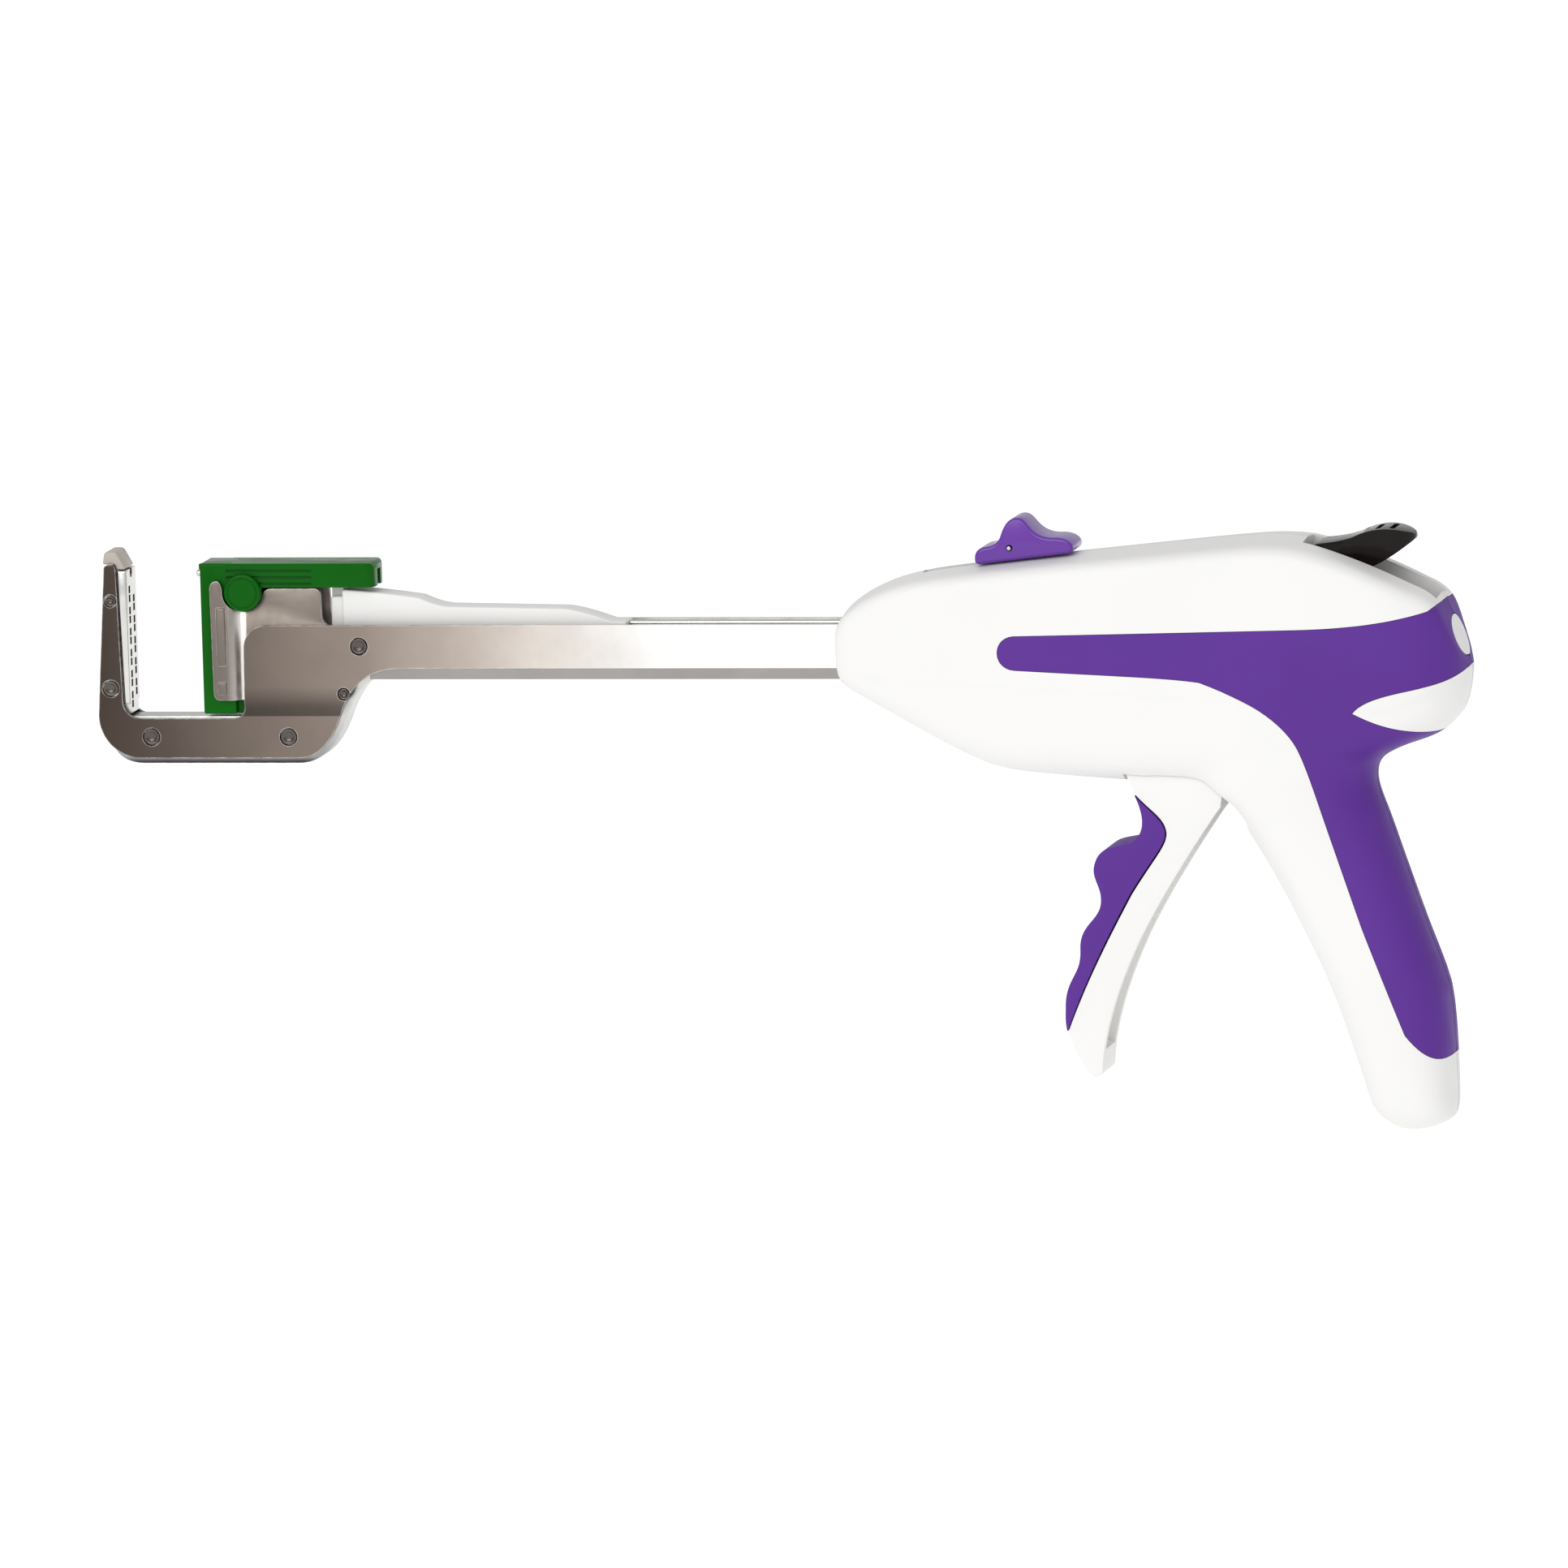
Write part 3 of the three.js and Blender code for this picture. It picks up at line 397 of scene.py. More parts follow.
finishes = {
    "whiteShell": {"colour": (0.80, 0.795, 0.78), "roughness": 0.42, "gloss": 0.4, "spread": 0.012,
                   "bump": 0.06},
    "purpleGrip": {"colour": (0.098, 0.024, 0.265), "roughness": 0.5, "gloss": 0.22, "spread": 0.05,
                   "grain": 1500, "bump": 0.25},
    "purpleGloss": {"colour": (0.125, 0.026, 0.33), "roughness": 0.2, "gloss": 0.35, "spread": 0.04,
                    "bump": 0.04, "coat": 0.3},
    "greenCartridge": {"colour": (0.0005, 0.1, 0.001), "roughness": 0.2, "gloss": 0.12, "spread": 0.08,
                       "bump": 0.05},
    "palePlastic": {"colour": (0.45, 0.40, 0.35), "roughness": 0.3, "spread": 0.03, "bump": 0.06},
    "blackLever": {"colour": (0.008, 0.006, 0.005), "roughness": 0.14, "gloss": 0.16, "spread": 0.1,
                   "bump": 0.04},
    "brightSteel": {"colour": (0.66, 0.65, 0.63), "roughness": 0.2, "stretch": (1, 8, 1)},
    "rivetSteel": {"colour": (0.115, 0.1, 0.088), "roughness": 0.22},
    "channelSteel": {"colour": (0.34, 0.325, 0.315), "roughness": 0.3, "stretch": (1, 8, 8)},
    "pocketShadeSteel": {"colour": (0.035, 0.033, 0.032), "roughness": 0.35},
}

whiteShell, purpleGrip, purpleGloss, greenCartridge, palePlastic, blackLever = [
    plasticFinish(name, **look) for name, look in finishes.items() if "Steel" not in name
]
brightSteel, rivetSteel, channelSteel, pocketShadeSteel = [
    steelFinish(name, **look) for name, look in finishes.items() if "Steel" in name
]

plateLook = {
    "from": -0.30,   # metres along the shaft, where the colours below start and end; their rise to near white is a painted lamp reflection
    "to": -0.16,
    "colours": [
        (0.0, (0.066, 0.05, 0.04)), (0.13, (0.105, 0.083, 0.07)), (0.28, (0.18, 0.146, 0.124)),
        (0.47, (0.28, 0.23, 0.198)), (0.65, (0.50, 0.435, 0.39)), (0.8, (0.68, 0.63, 0.58)),
        (0.95, (0.9, 0.885, 0.87)),
    ],
    "edgeColour": (0.9, 0.88, 0.85),
    "bendShadeColours": [
        (0.0, (1, 1, 1)), (0.02, (0.4, 0.4, 0.4)), (0.4, (0.52, 0.52, 0.52)), (1.0, (1, 1, 1)),
    ],
    "bendFrom": 0.0433,   # metres up, where painted shade lies over the inward step of the sheet
    "bendTo": 0.0505,
    "bendFront": -0.276,
    "roughness": 0.36,
}
# spacer tone rises from near black at its lower edge to pale grey higher up: painted shade along the
# bottom
spacerLook = {
    "from": 0.0315,
    "to": 0.044,
    "colours": [
        (0.0, (0.03, 0.028, 0.034)), (0.08, (0.07, 0.066, 0.07)), (0.16, (0.34, 0.33, 0.33)),
        (0.5, (0.5, 0.5, 0.5)), (0.9, (0.62, 0.62, 0.6)),
    ],
    "roughness": 0.3,
}
# carrier tone along its length: the near-white band at the rear of the joggle is a painted highlight
carrierLook = {
    "from": -0.2695,
    "to": -0.2625,
    "colours": [
        (0.0, (0.19, 0.163, 0.142)), (0.25, (0.21, 0.18, 0.157)), (0.5, (0.45, 0.41, 0.38)),
        (0.68, (0.9, 0.86, 0.82)), (0.86, (0.92, 0.88, 0.84)), (0.93, (0.23, 0.197, 0.172)),
    ],
    "roughness": 0.33,
}


def mixColour(material, factor, first, second, blend="MIX"):
    tree = material.node_tree
    mix = tree.nodes.new("ShaderNodeMix")
    mix.data_type = "RGBA"
    mix.blend_type = blend
    for value, socket in ((factor, mix.inputs[0]), (first, mix.inputs[6]), (second, mix.inputs[7])):
        if isinstance(value, bpy.types.NodeSocket):
            tree.links.new(value, socket)
        else:
            socket.default_value = value
    return mix.outputs[2]


def rimFactor(material, place, radius):
    # high where the surface turns a corner, patchy as a burred rim is, and none on the flat
    tree = material.node_tree
    rim = tree.nodes.new("ShaderNodeBevel")
    rim.samples = 4
    rim.inputs["Radius"].default_value = radius * mm
    face = tree.nodes.new("ShaderNodeNewGeometry")
    dot = tree.nodes.new("ShaderNodeVectorMath")
    dot.operation = "DOT_PRODUCT"
    tree.links.new(rim.outputs["Normal"], dot.inputs[0])
    tree.links.new(face.outputs["Normal"], dot.inputs[1])
    turned = mapValue(material, dot.outputs["Value"], 1, 0, None, 0.86, 0.99)
    product = tree.nodes.new("ShaderNodeMath")
    product.operation = "MULTIPLY"
    tree.links.new(turned, product.inputs[0])
    worn = mapValue(material, addNoise(material, place, 520, 3.0), 0.12, 0.95, None)
    tree.links.new(worn, product.inputs[1])
    return product.outputs["Value"]


def mottle(material, place, colour):
    cloud = addNoise(material, place, 45, 5.0)
    speckle = rampColour(material, cloud, [(0.3, (0.9, 0.9, 0.9)), (0.7, (1.08, 1.08, 1.08))], None)
    return mixColour(material, 1.0, colour, speckle, "MULTIPLY")


def plateFinish():
    # blasted sheet: brown-grey at the jaw, lightened towards the housing by a painted lamp reflection,
    # with painted shade over its inward step, and bright at its rims
    look = plateLook
    material, shader, place = startFinish("plateSteel", look["roughness"], 1.0)
    tree = material.node_tree
    split = tree.nodes.new("ShaderNodeSeparateXYZ")
    tree.links.new(place, split.inputs["Vector"])
    # tone along the shaft: brown-grey sheet under a painted reflection that brightens it towards the
    # housing
    along = mapValue(material, split.outputs["X"], 0, 1, None, look["from"], look["to"])
    body = mottle(material, place, rampColour(material, along, look["colours"], None))
    # painted shade over the inward step of the sheet, behind the jaw's front
    up = mapValue(material, split.outputs["Z"], 0, 1, None, look["bendFrom"], look["bendTo"])
    bend = rampColour(material, up, look["bendShadeColours"], None)
    front = look["bendFront"]
    behind = mapValue(material, split.outputs["X"], 0, 1, None, front, front + 0.002)
    body = mixColour(material, behind, body, mixColour(material, 1.0, body, bend, "MULTIPLY"))
    coloured = mixColour(material, rimFactor(material, place, 0.35), body, (*look["edgeColour"], 1))
    tree.links.new(coloured, shader.inputs["Base Color"])
    mapValue(material, addNoise(material, place, 420, 4.0), 0.3, 0.46, shader.inputs["Roughness"])
    addBump(material, shader, addNoise(material, place, 1800, 3.0), 0.16, 0.03)
    return material


def gradedSteel(name, look, axis):
    # sheet or bar that changes tone along one axis, by painted shade on the spacer and a painted
    # highlight on the carrier, bright along its rims
    roughness = look["roughness"]
    material, shader, place = startFinish(name, roughness, 1.0)
    tree = material.node_tree
    split = tree.nodes.new("ShaderNodeSeparateXYZ")
    tree.links.new(place, split.inputs["Vector"])
    along = mapValue(material, split.outputs[axis], 0, 1, None, look["from"], look["to"])
    body = mottle(material, place, rampColour(material, along, look["colours"], None))
    coloured = mixColour(material, rimFactor(material, place, 0.3), body, (*plateLook["edgeColour"], 1))
    tree.links.new(coloured, shader.inputs["Base Color"])
    mapValue(material, addNoise(material, place, 420, 4.0), roughness - 0.05, roughness + 0.09,
             shader.inputs["Roughness"])
    addBump(material, shader, addNoise(material, place, 1800, 3.0), 0.14, 0.03)
    return material


plateSteel = plateFinish()
carrierSteel = gradedSteel("carrierSteel", carrierLook, "X")
spacerSteel = gradedSteel("spacerSteel", spacerLook, "Z")
print("finishes made")


# housing: a body and a handle grown into one skin, then split and hollowed

housing = {
    "sides": 72,
    "voxel": 0.9,
    "topPower": 13.0,
    "roof": 1.5,        # how far the top falls from the seam to its shoulder
    "step": 0.7,       # how far the lower flank stands in under the crease
    "lowPower": 3.0,
    "tuck": 0.12,       # how far the lower flank leans in below its crease
    "handlePower": 2.6,
    "wall": 2.6,
    "gripDepth": 1.2,
    "gripPocket": 1.5,
    "groove": 0.12,
    "seam": 0.25,
}

bodyTop = [
    (-121.2, 65.2), (-119.5, 68.2), (-113.5, 72.7), (-103.7, 76.5), (-89, 78.8), (-50.9, 82.8),
    (-19.7, 85.6), (-11, 85.3), (-0.4, 82.2), (15, 75.7), (22.5, 71.2), (25.6, 63.8), (28, 57.3),
    (28.8, 54.9),
]
bodyBottom = [
    (-121.2, 52), (-119.6, 50), (-113.5, 46.3), (-94.3, 35.5), (-84, 31), (-71.2, 29.2), (-40.1, 27.4),
    (-10, 28.5), (5, 32.5), (12.9, 36.1), (20.7, 38.6), (24.3, 41.5), (27, 45.3), (28.5, 50.7),
    (28.8, 53.4),
]
bodyCrease = [
    (-121.2, 55.5), (-112, 53.6), (-60, 50.8), (-25, 48.5), (-5, 47), (8, 46.5), (18, 49), (28.8, 54.1),
]
bodyHalfWidth = [
    (-121.2, 9.4), (-118, 11.2), (-100, 13.4), (-80, 14.8), (-50, 16), (-10, 17.2), (8, 17.2),
    (18, 15.6), (23, 13), (27, 8.4), (28.8, 3),
]
bodyStations = [
    -121.2, -120.6, -119.6, -118.4, -117, -113, -106, -95, -82, -66, -48, -32, -20, -10, 0, 9, 16, 21,
    24, 26.4, 28.1, 28.8,
]
handleFront = [
    (-54.6, 11.5), (-53.9, 8.6), (-51.2, 4.7), (-47.9, 2.5), (-42.7, 1.1), (-21.2, -6.1), (-5.2, -13.4),
    (8.9, -20.8), (22.3, -29.7), (26.7, -36.2), (31, -38), (44, -38),
]
handleBack = [
    (-54.6, 13.5), (-53.9, 17.5), (-51.6, 22), (-47, 22.7), (-37.8, 22.6), (-26.2, 22.1), (-19.5, 21.1),
    (-4.7, 15.9), (17, 8.8), (28.6, 5.3), (33.4, 6.6), (36, 11), (44, 14),
]
handleHalfWidth = [
    (-54.6, 3), (-53.9, 6.5), (-51.2, 10.4), (-46, 12.8), (-30, 14), (0, 13.6), (28, 13), (44, 13),
]
handleStations = [-54.6, -54.3, -53.9, -53, -51.6, -49.8, -47.5, -40, -29, -17, -5, 8, 20, 28, 34, 44]


def readLine(keys, at):
    # a smooth line through its keys, with the slope of the neighbours at each key
    last = len(keys) - 1
    i = 0
    while i < last - 1 and at > keys[i + 1][0]:
        i += 1

    def slope(k):
        a, b = keys[max(k - 1, 0)], keys[min(k + 1, last)]
        return (b[1] - a[1]) / (b[0] - a[0])

    (x0, v0), (x1, v1) = keys[i], keys[i + 1]
    t = min(max((at - x0) / (x1 - x0), 0), 1)
    steep = (v1 - v0) / (x1 - x0)

    def limit(m):
        return 0 if m * steep <= 0 else math.copysign(min(abs(m), 3 * abs(steep)), m)

    m0 = limit(slope(i)) * (x1 - x0)
    m1 = limit(slope(i + 1)) * (x1 - x0)
    t2, t3 = t * t, t ** 3
    return (2 * t3 - 3 * t2 + 1) * v0 + (t3 - 2 * t2 + t) * m0 + (3 * t2 - 2 * t3) * v1 + (t3 - t2) * m1


def spread(stations, parts):
    made = [a + (b - a) * k / parts for a, b in zip(stations, stations[1:]) for k in range(parts)]
    return made + [stations[-1]]


def rounded(value, power):
    return math.copysign(abs(value) ** (2 / power), value)


def bodyForm(inset, count, parts):
    nose, rear = bodyStations[0], bodyStations[-1]
    rings = []
    for x in spread(bodyStations, parts):
        top = readLine(bodyTop, x) - inset
        bottom = readLine(bodyBottom, x) + inset
        half = max(readLine(bodyHalfWidth, x) - inset, 0.4)
        middle = (top + bottom) / 2
        top, bottom = max(top, middle + 0.5), min(bottom, middle - 0.5)
        crease = min(max(readLine(bodyCrease, x), bottom + 0.3), top - 0.3)
        place = x
        if x > 0:
            place = x - inset * x / rear
        elif x < -80:
            place = x + inset * (x + 80) / (nose + 80)
        ring = []
        drop = min(0.5, (crease - bottom) * 0.2)
        for k in range(count):
            angle = 2 * math.pi * k / count
            upper = k < count / 2
            power = housing["topPower"] if upper else housing["lowPower"]
            under = max(-math.sin(angle), 0)
            lean = 1 - housing["tuck"] * rounded(under, power) if under > 0 else 1
            reach = (top - crease) if upper else (crease - bottom)
            wide = half if upper else max(half - housing["step"], 0.3)
            y = wide * rounded(math.cos(angle), power) * lean
            height = rounded(math.sin(angle), power)
            fall = housing["roof"] * abs(y) / half * height if upper else 0
            if k == count // 2:
                # the step under the crease, on this side and then on the other
                ring.append(Vector((place, -half, crease)))
                ring.append(Vector((place, -wide, crease - drop)))
                continue
            ring.append(Vector((place, y, crease + reach * height - min(fall, reach * 0.4))))
        ring.append(Vector((place, wide, crease - drop)))
        rings.append(ring)
    return loft("body", rings)


def handleForm(inset, count, parts):
    foot = handleStations[0]
    power = housing["handlePower"]
    rings = []
    for z in spread(handleStations, parts):
        front = readLine(handleFront, z) + inset
        back = readLine(handleBack, z) - inset
        half = max(readLine(handleHalfWidth, z) - inset, 0.4)
        reach = max((back - front) / 2, 0.4)
        place = z + inset * z / foot if z < 0 else z
        ring = []
        for k in range(count):
            angle = 2 * math.pi * k / count
            x = (front + back) / 2 + reach * rounded(math.cos(angle), power)
            ring.append(Vector((x, half * rounded(math.sin(angle), power), place)))
        rings.append(ring)
    return loft("handle", rings)


def housingForm(inset, count=24, parts=1):
    return fuse(bodyForm(inset, count, parts), handleForm(inset, count, parts))


def smoothHousing():
    # body and handle become one skin, and the corner between them is blended
    form = joinMeshes([bodyForm(0, housing["sides"], 3), handleForm(0, housing["sides"], 3)])
    useModifier(form, "REMESH", mode="VOXEL", voxel_size=housing["voxel"] * mm)
    useModifier(form, "SMOOTH", factor=0.5, iterations=3)
    group = form.vertex_groups.new(name="corner")
    for vertex in form.data.vertices:
        x, z = vertex.co.x / mm, vertex.co.z / mm
        near = max(0.0, 1 - abs(z - 34) / 13) if -48 < x < 26 else 0.0
        if near > 0:
            group.add([vertex.index], min(1.0, near * 1.6), "REPLACE")
    useModifier(form, "SMOOTH", factor=0.5, iterations=70, vertex_group="corner")
    return form


gripSpec = [
    (-77.5, 63.3), (-9.4, 65), (8, 65.4, 20.9, 68.9), (24.5, 71.5), (40, 71.5), (40, -31), (24, -35.3),
    (20, -40, 13, -30.9), (8, -18, 3.4, -5.7), (-10.3, 35.6), (-13.6, 45.6, -33.1, 52.7),
    (-37.5, 53.4, -48.7, 54), (-77.4, 55.4), (-82.6, 55.8, -82.6, 62.8, -77.5, 63.3),
]
teardropSpec = [
    (2.8, 45.3), (6, 49.4, 15, 50.2, 20, 51.4), (26, 52.6, 29, 54, 31, 58.5), (42, 58.5), (42, 40.1),
    (21, 39.9), (12, 40.2, 2.8, 45.3),
]
inlay = {"x": 25.1, "z": 61.4, "tilt": 0.36, "halfLength": 5.0, "halfWidth": 6.4}


def gripZone(grow):
    zone = outlineSolid("gripZone", growOutline(readOutline(gripSpec), grow), -40, 40)
    return cut(zone, outlineSolid("teardrop", growOutline(readOutline(teardropSpec), -grow), -41, 41))


def inlayPlug(grow, inner, outer, name="plug"):
    clearSelection()
    bpy.ops.mesh.primitive_cylinder_add(vertices=48, radius=1, depth=1, rotation=(0, math.pi / 2, 0))
    piece = bpy.context.object
    piece.name = name
    bpy.ops.object.transform_apply(location=True, rotation=True, scale=True)
    size = Vector((outer - inner, inlay["halfWidth"] + grow, inlay["halfLength"] + grow)) * mm
    shift = Vector(((outer + inner) / 2, 0, 0)) * mm
    turn = Matrix.Rotation(-inlay["tilt"], 4, "Y")
    centre = Vector((inlay["x"], 0, inlay["z"])) * mm
    for vertex in piece.data.vertices:
        local = Vector((vertex.co.x * size.x, vertex.co.y * size.y, vertex.co.z * size.z)) + shift
        vertex.co = turn @ local + centre
    return piece


pivot = {"x": -36.5, "z": 33, "radius": 2}
latchPivot = {"x": -16, "z": 72, "radius": 1.3}
springAnchor = {"x": -1, "z": 58, "radius": 1.5}
leverPivot = {"x": -5.5, "z": 80.6, "radius": 1.2}
screwPlaces = [(-98, 45), (-47, 74), (16, 50), (14, -43)]
leverWellSpec = [(-9.5, 74), (-9.5, 90), (24, 90), (21.2, 66), (8, 70)]
triggerSlotSpec = [(-53.4, 20), (-53.4, 40), (-22, 40), (-24.6, 15.2), (-36, 14)]


def leverWell():
    return outlineSolid("leverWell", readOutline(leverWellSpec), -7, 7)


def buildHousing():
    leftSide = (-400, 200, -60, -housing["seam"], -150, 150)
    skin = smoothHousing()
    print("housing skin:", len(skin.data.polygons), "faces")
    grip = copyPiece(skin, "grip")
    combine(grip, [block(*leftSide)], "INTERSECT")
    shell = copyPiece(grip, "shell")
    plug = inlayPlug(0, -3, 6, "inlay")
    combine(plug, [skin], "INTERSECT")

    combine(grip, [gripZone(0)], "INTERSECT")
    cut(grip, housingForm(housing["gripDepth"]), inlayPlug(0.3, -6, 6), leverWell())
    keepLargest(grip)

    posts = [(pivot, 4, 8.4), (latchPivot, 3, 3), (springAnchor, 3, 4.5)]
    columns = [crossBar(p["x"], p["z"], radius, -20, -start, 20) for p, radius, start in posts]
    columns += [crossBar(x, z, 3.2, -20, -housing["seam"], 20) for x, z in screwPlaces]
    hollow = housingForm(housing["wall"], 24)
    combine(hollow, columns, "DIFFERENCE")
    pocket = cut(gripZone(housing["groove"]), housingForm(housing["gripPocket"]))
    slots = [
        block(-125, -112, -7.5, 7.5, 51.7, 66),
        block(-101, -70, -2.4, 2.4, 66, 95),
        outlineSolid("triggerSlot", readOutline(triggerSlotSpec), -8.5, 8.5),
    ]
    cut(shell, hollow, pocket)
    for opening in slots:
        cut(shell, opening)
    cut(shell, leverWell(), inlayPlug(0.3, -3.3, 6))
    pins = [(pivot, 9.5), (latchPivot, 11.5), (springAnchor, 11.5), (leverPivot, 9.6)]
    holes = [crossBar(p["x"], p["z"], p["radius"] + 0.3, -reach, 1, 20) for p, reach in pins]
    holes += [crossBar(x, z, 1.3, -8, 1, 16) for x, z in screwPlaces]
    combine(shell, holes, "DIFFERENCE")
    keepLargest(shell)

    farShell = mirrorPiece(shell, "farShell")
    wells = [crossBar(x, z, 2.9, 9, 30) for x, z in screwPlaces]
    combine(farShell, wells, "DIFFERENCE")
    combine(farShell, [crossBar(x, z, 1.5, -1, 10, 20) for x, z in screwPlaces], "DIFFERENCE")
    keepLargest(farShell)
    farGrip = mirrorPiece(grip, "farGrip")
    combine(farGrip, [crossBar(x, z, 3.1, 5, 30) for x, z in screwPlaces], "DIFFERENCE")
    keepLargest(farGrip)
    setPiece(shell, "left_shell", whiteShell, 38)
    setPiece(farShell, "right_shell", whiteShell, 38)
    setPiece(grip, "left_grip", purpleGrip, 38)
    setPiece(farGrip, "right_grip", purpleGrip, 38)

    setPiece(plug, "rear_inlay", whiteShell)


def keepLargest(piece):
    # crumbs that a cut can leave are dropped
    editAll(piece)
    mesh = bmesh.from_edit_mesh(piece.data)
    seen, parts = set(), []
    for face in mesh.faces:
        if face.index in seen:
            continue
        stack, part = [face], []
        seen.add(face.index)
        while stack:
            current = stack.pop()
            part.append(current)
            for edge in current.edges:
                for other in edge.link_faces:
                    if other.index not in seen:
                        seen.add(other.index)
                        stack.append(other)
        parts.append(part)
    parts.sort(key=lambda part: sum(face.calc_area() for face in part))
    stray = [face for part in parts[:-1] for face in part]
    for face in mesh.faces:
        face.select = False
    if stray:
        bmesh.ops.delete(mesh, geom=stray, context="FACES")
    bmesh.update_edit_mesh(piece.data)
    leaveEdit()
    print(piece.name, "parts:", len(parts), "faces:", len(piece.data.polygons))
    return piece


buildHousing()
print("housing made")


# trigger: a lever of U section with an arm above its pivot, and a soft finger pad

triggerSpec = [
    (-52, 28), (-50.6, 25), (-47, 21, -43.8, 19.6, -43.5, 16), (-43.5, 13, -46.4, 10.4, -52.1, 1.6),
    (-60, -12.4, -64.4, -21.4, -68.1, -30.8), (-67, -36, -63.6, -40.4), (-61.6, -43, -60.4, -40.6),
    (-59.5, -27, -50.5, -9), (-44, 3.4, -32.1, 20.2), (-30.6, 22), (-29.6, 28), (-32, 44), (-40, 42),
    (-47, 43, -52.4, 38), (-54.4, 33, -52, 28),
]
triggerHollow = [
    (-48, 26), (-43.5, 22, -41, 20, -41, 16), (-41, 13, -44, 10, -49.6, 1.6),
    (-57.5, -12.4, -61.4, -21.4, -64, -30), (-64.2, -33.6, -61, -35), (-40, -42), (-10, 10), (-26, 26),
]
fingerPad = [
    (-50.9, 24.9), (-48.4, 19.5, -48.6, 15.4, -52.5, 13.5), (-56, 12.6, -60.2, 13.2, -61.1, 7.6),
    (-61.3, 4.6, -59.2, 3.2, -59.6, -0.6), (-60.2, -4.8, -64.9, -5.6, -64.8, -11.4),
    (-64.6, -18, -68.8, -18, -68.7, -26), (-68.9, -29, -68.4, -30.9),
    (-64.8, -21.4, -60.4, -12.2, -52.5, 1.8),
    (-46.8, 10.6, -43.9, 13.1, -43.9, 16), (-44.2, 19.3, -47.4, 20.8, -50.9, 24.9),
]
armSpec = [
    (-41.5, 33), (-33.2, 60.2), (-32.4, 63.6, -28, 63), (-24.2, 62.2, -25, 57.6), (-31.5, 33),
]
drivePin = {"x": -28.5, "z": 58.8, "radius": 1.7}


def buildTrigger():
    lever = outlineSolid("lever", readOutline(triggerSpec), -8, 8)
    cut(
        lever, outlineSolid("hollow", readOutline(triggerHollow), -5.8, 5.8),
        block(-60, -20, -9, -2.5, 38.6, 50), block(-60, -20, 2.5, 9, 38.6, 50),
    )
    softenEdges(lever, 0.7, 4)
    fuse(lever, outlineSolid("arm", readOutline(armSpec), -2.5, 2.5))
    cut(lever, crossBar(pivot["x"], pivot["z"], pivot["radius"] + 0.3, -9, 9),
        crossBar(drivePin["x"], drivePin["z"], drivePin["radius"] + 0.1, -9, 9))
    setPiece(lever, "trigger", whiteShell)
    pad = outlineSolid("pad", readOutline(fingerPad), -8.2, 8.2)
    softenEdges(pad, 0.9, 5)
    setPiece(pad, "trigger_grip", purpleGrip)
    print("trigger made")


buildTrigger()


# thumb slide and release lever

slideSpec = [
    (-86.9, 79.1), (-87.9, 79.1, -87.9, 80.4), (-87.9, 82.9, -85.2, 83.2), (-82.6, 83.6, -81.8, 85.4),
    (-80.9, 88.2, -79.8, 90, -77.6, 90), (-75.6, 90, -75.2, 88, -73.4, 86.7), (-71.6, 85.3, -68.8, 85.4),
    (-66.8, 85.4, -65.6, 84.7), (-64.4, 84, -64.4, 82.9), (-64.4, 81.8, -65.6, 81.6),
]
leverSpec = [
    (-8.2, 81.4), (-8, 83.9, -5.4, 84), (-1, 84.4, 2.1, 85.4), (9, 88.8, 15.7, 86), (17, 85, 15.6, 84),
    (11.5, 80.8, 7.6, 78.8), (5, 77.6), (2, 78, -2, 78.6), (-8, 77.4, -8.2, 81.4),
]
leverPlan = [
    (-9, -6.4), (7, -6.4), (13, -6.4, 15.6, -4, 16.6, 0), (15.6, 4, 13, 6.4, 7, 6.4), (-9, 6.4),
]
slidePin = {"x": -79.5, "z": 83, "radius": 0.5}


def buildControls():
    saddle = outlineSolid("saddle", readOutline(slideSpec), -6, 6)
    softenEdges(saddle, 1.1, 6)
    for vertex in saddle.data.vertices:
        rise = max(vertex.co.z / mm - 84, 0) / 7
        vertex.co.y *= 1 - 0.12 * rise * rise
    fuse(saddle, block(-80.8, -71.4, -2, 2, 72, 82))
    cut(saddle, block(-79.7, -75.3, -1.6, 1.6, 70, 77.6),
        crossBar(slidePin["x"], slidePin["z"], 0.8, -9, 9))
    setPiece(saddle, "thumb_slide", purpleGloss)

    lever = outlineSolid("rocker", readOutline(leverSpec), -6.4, 6.4)
    combine(lever, [outlineSolid("plan", readOutline(leverPlan), 70, 95, "plan")], "INTERSECT")
    softenEdges(lever, 0.7, 4, 40)
    for vertex in lever.data.vertices:
        drop = max(84.4 - vertex.co.z / mm, 0) / 7
        vertex.co.y *= 1 - 0.42 * min(drop, 1) if vertex.co.x > 0 else 1
    for x in (3.6, 7, 10.4):
        slot = block(x, x + 1.3, -4.2, 4.2, 86.2, 90)
        softenEdges(slot, 0.5, 3)
        cut(lever, slot)
    cut(lever, crossBar(leverPivot["x"], leverPivot["z"], 1.5, -9, 9))
    setPiece(lever, "release_lever", blackLever)
    print("controls made")


buildControls()


# side plates, spacer and anvil

plate = {"thick": 1.2, "shaftInner": 5.9, "jawInner": 4.2, "bendTop": 47.4, "bendLow": 43.4}
plateSpec = [
    (-62, 65.1), (-258.2, 65.1), ("arc", -258.2, 59.7, 5.4, 90, 180), (-263.8, 46.4),
    (-264, 42.8, -267.2, 42.8), (-289.5, 42.8), ("arc", -289.5, 46.9, 4.1, 270, 180), (-294.4, 78.4),
    (-294.5, 79.2, -295.3, 79.2), (-296.2, 79.2), (-297.1, 79.2, -297.2, 78.3), (-299.5, 43.5),
    ("arc", -289.4, 43.5, 10.1, 180, 270), (-251.8, 33.4), (-246.5, 33.4, -243.4, 37.6, -241.4, 42.8),
    (-238.6, 49.8, -235.2, 54.9, -225.5, 54.9), (-62, 54.9),
]
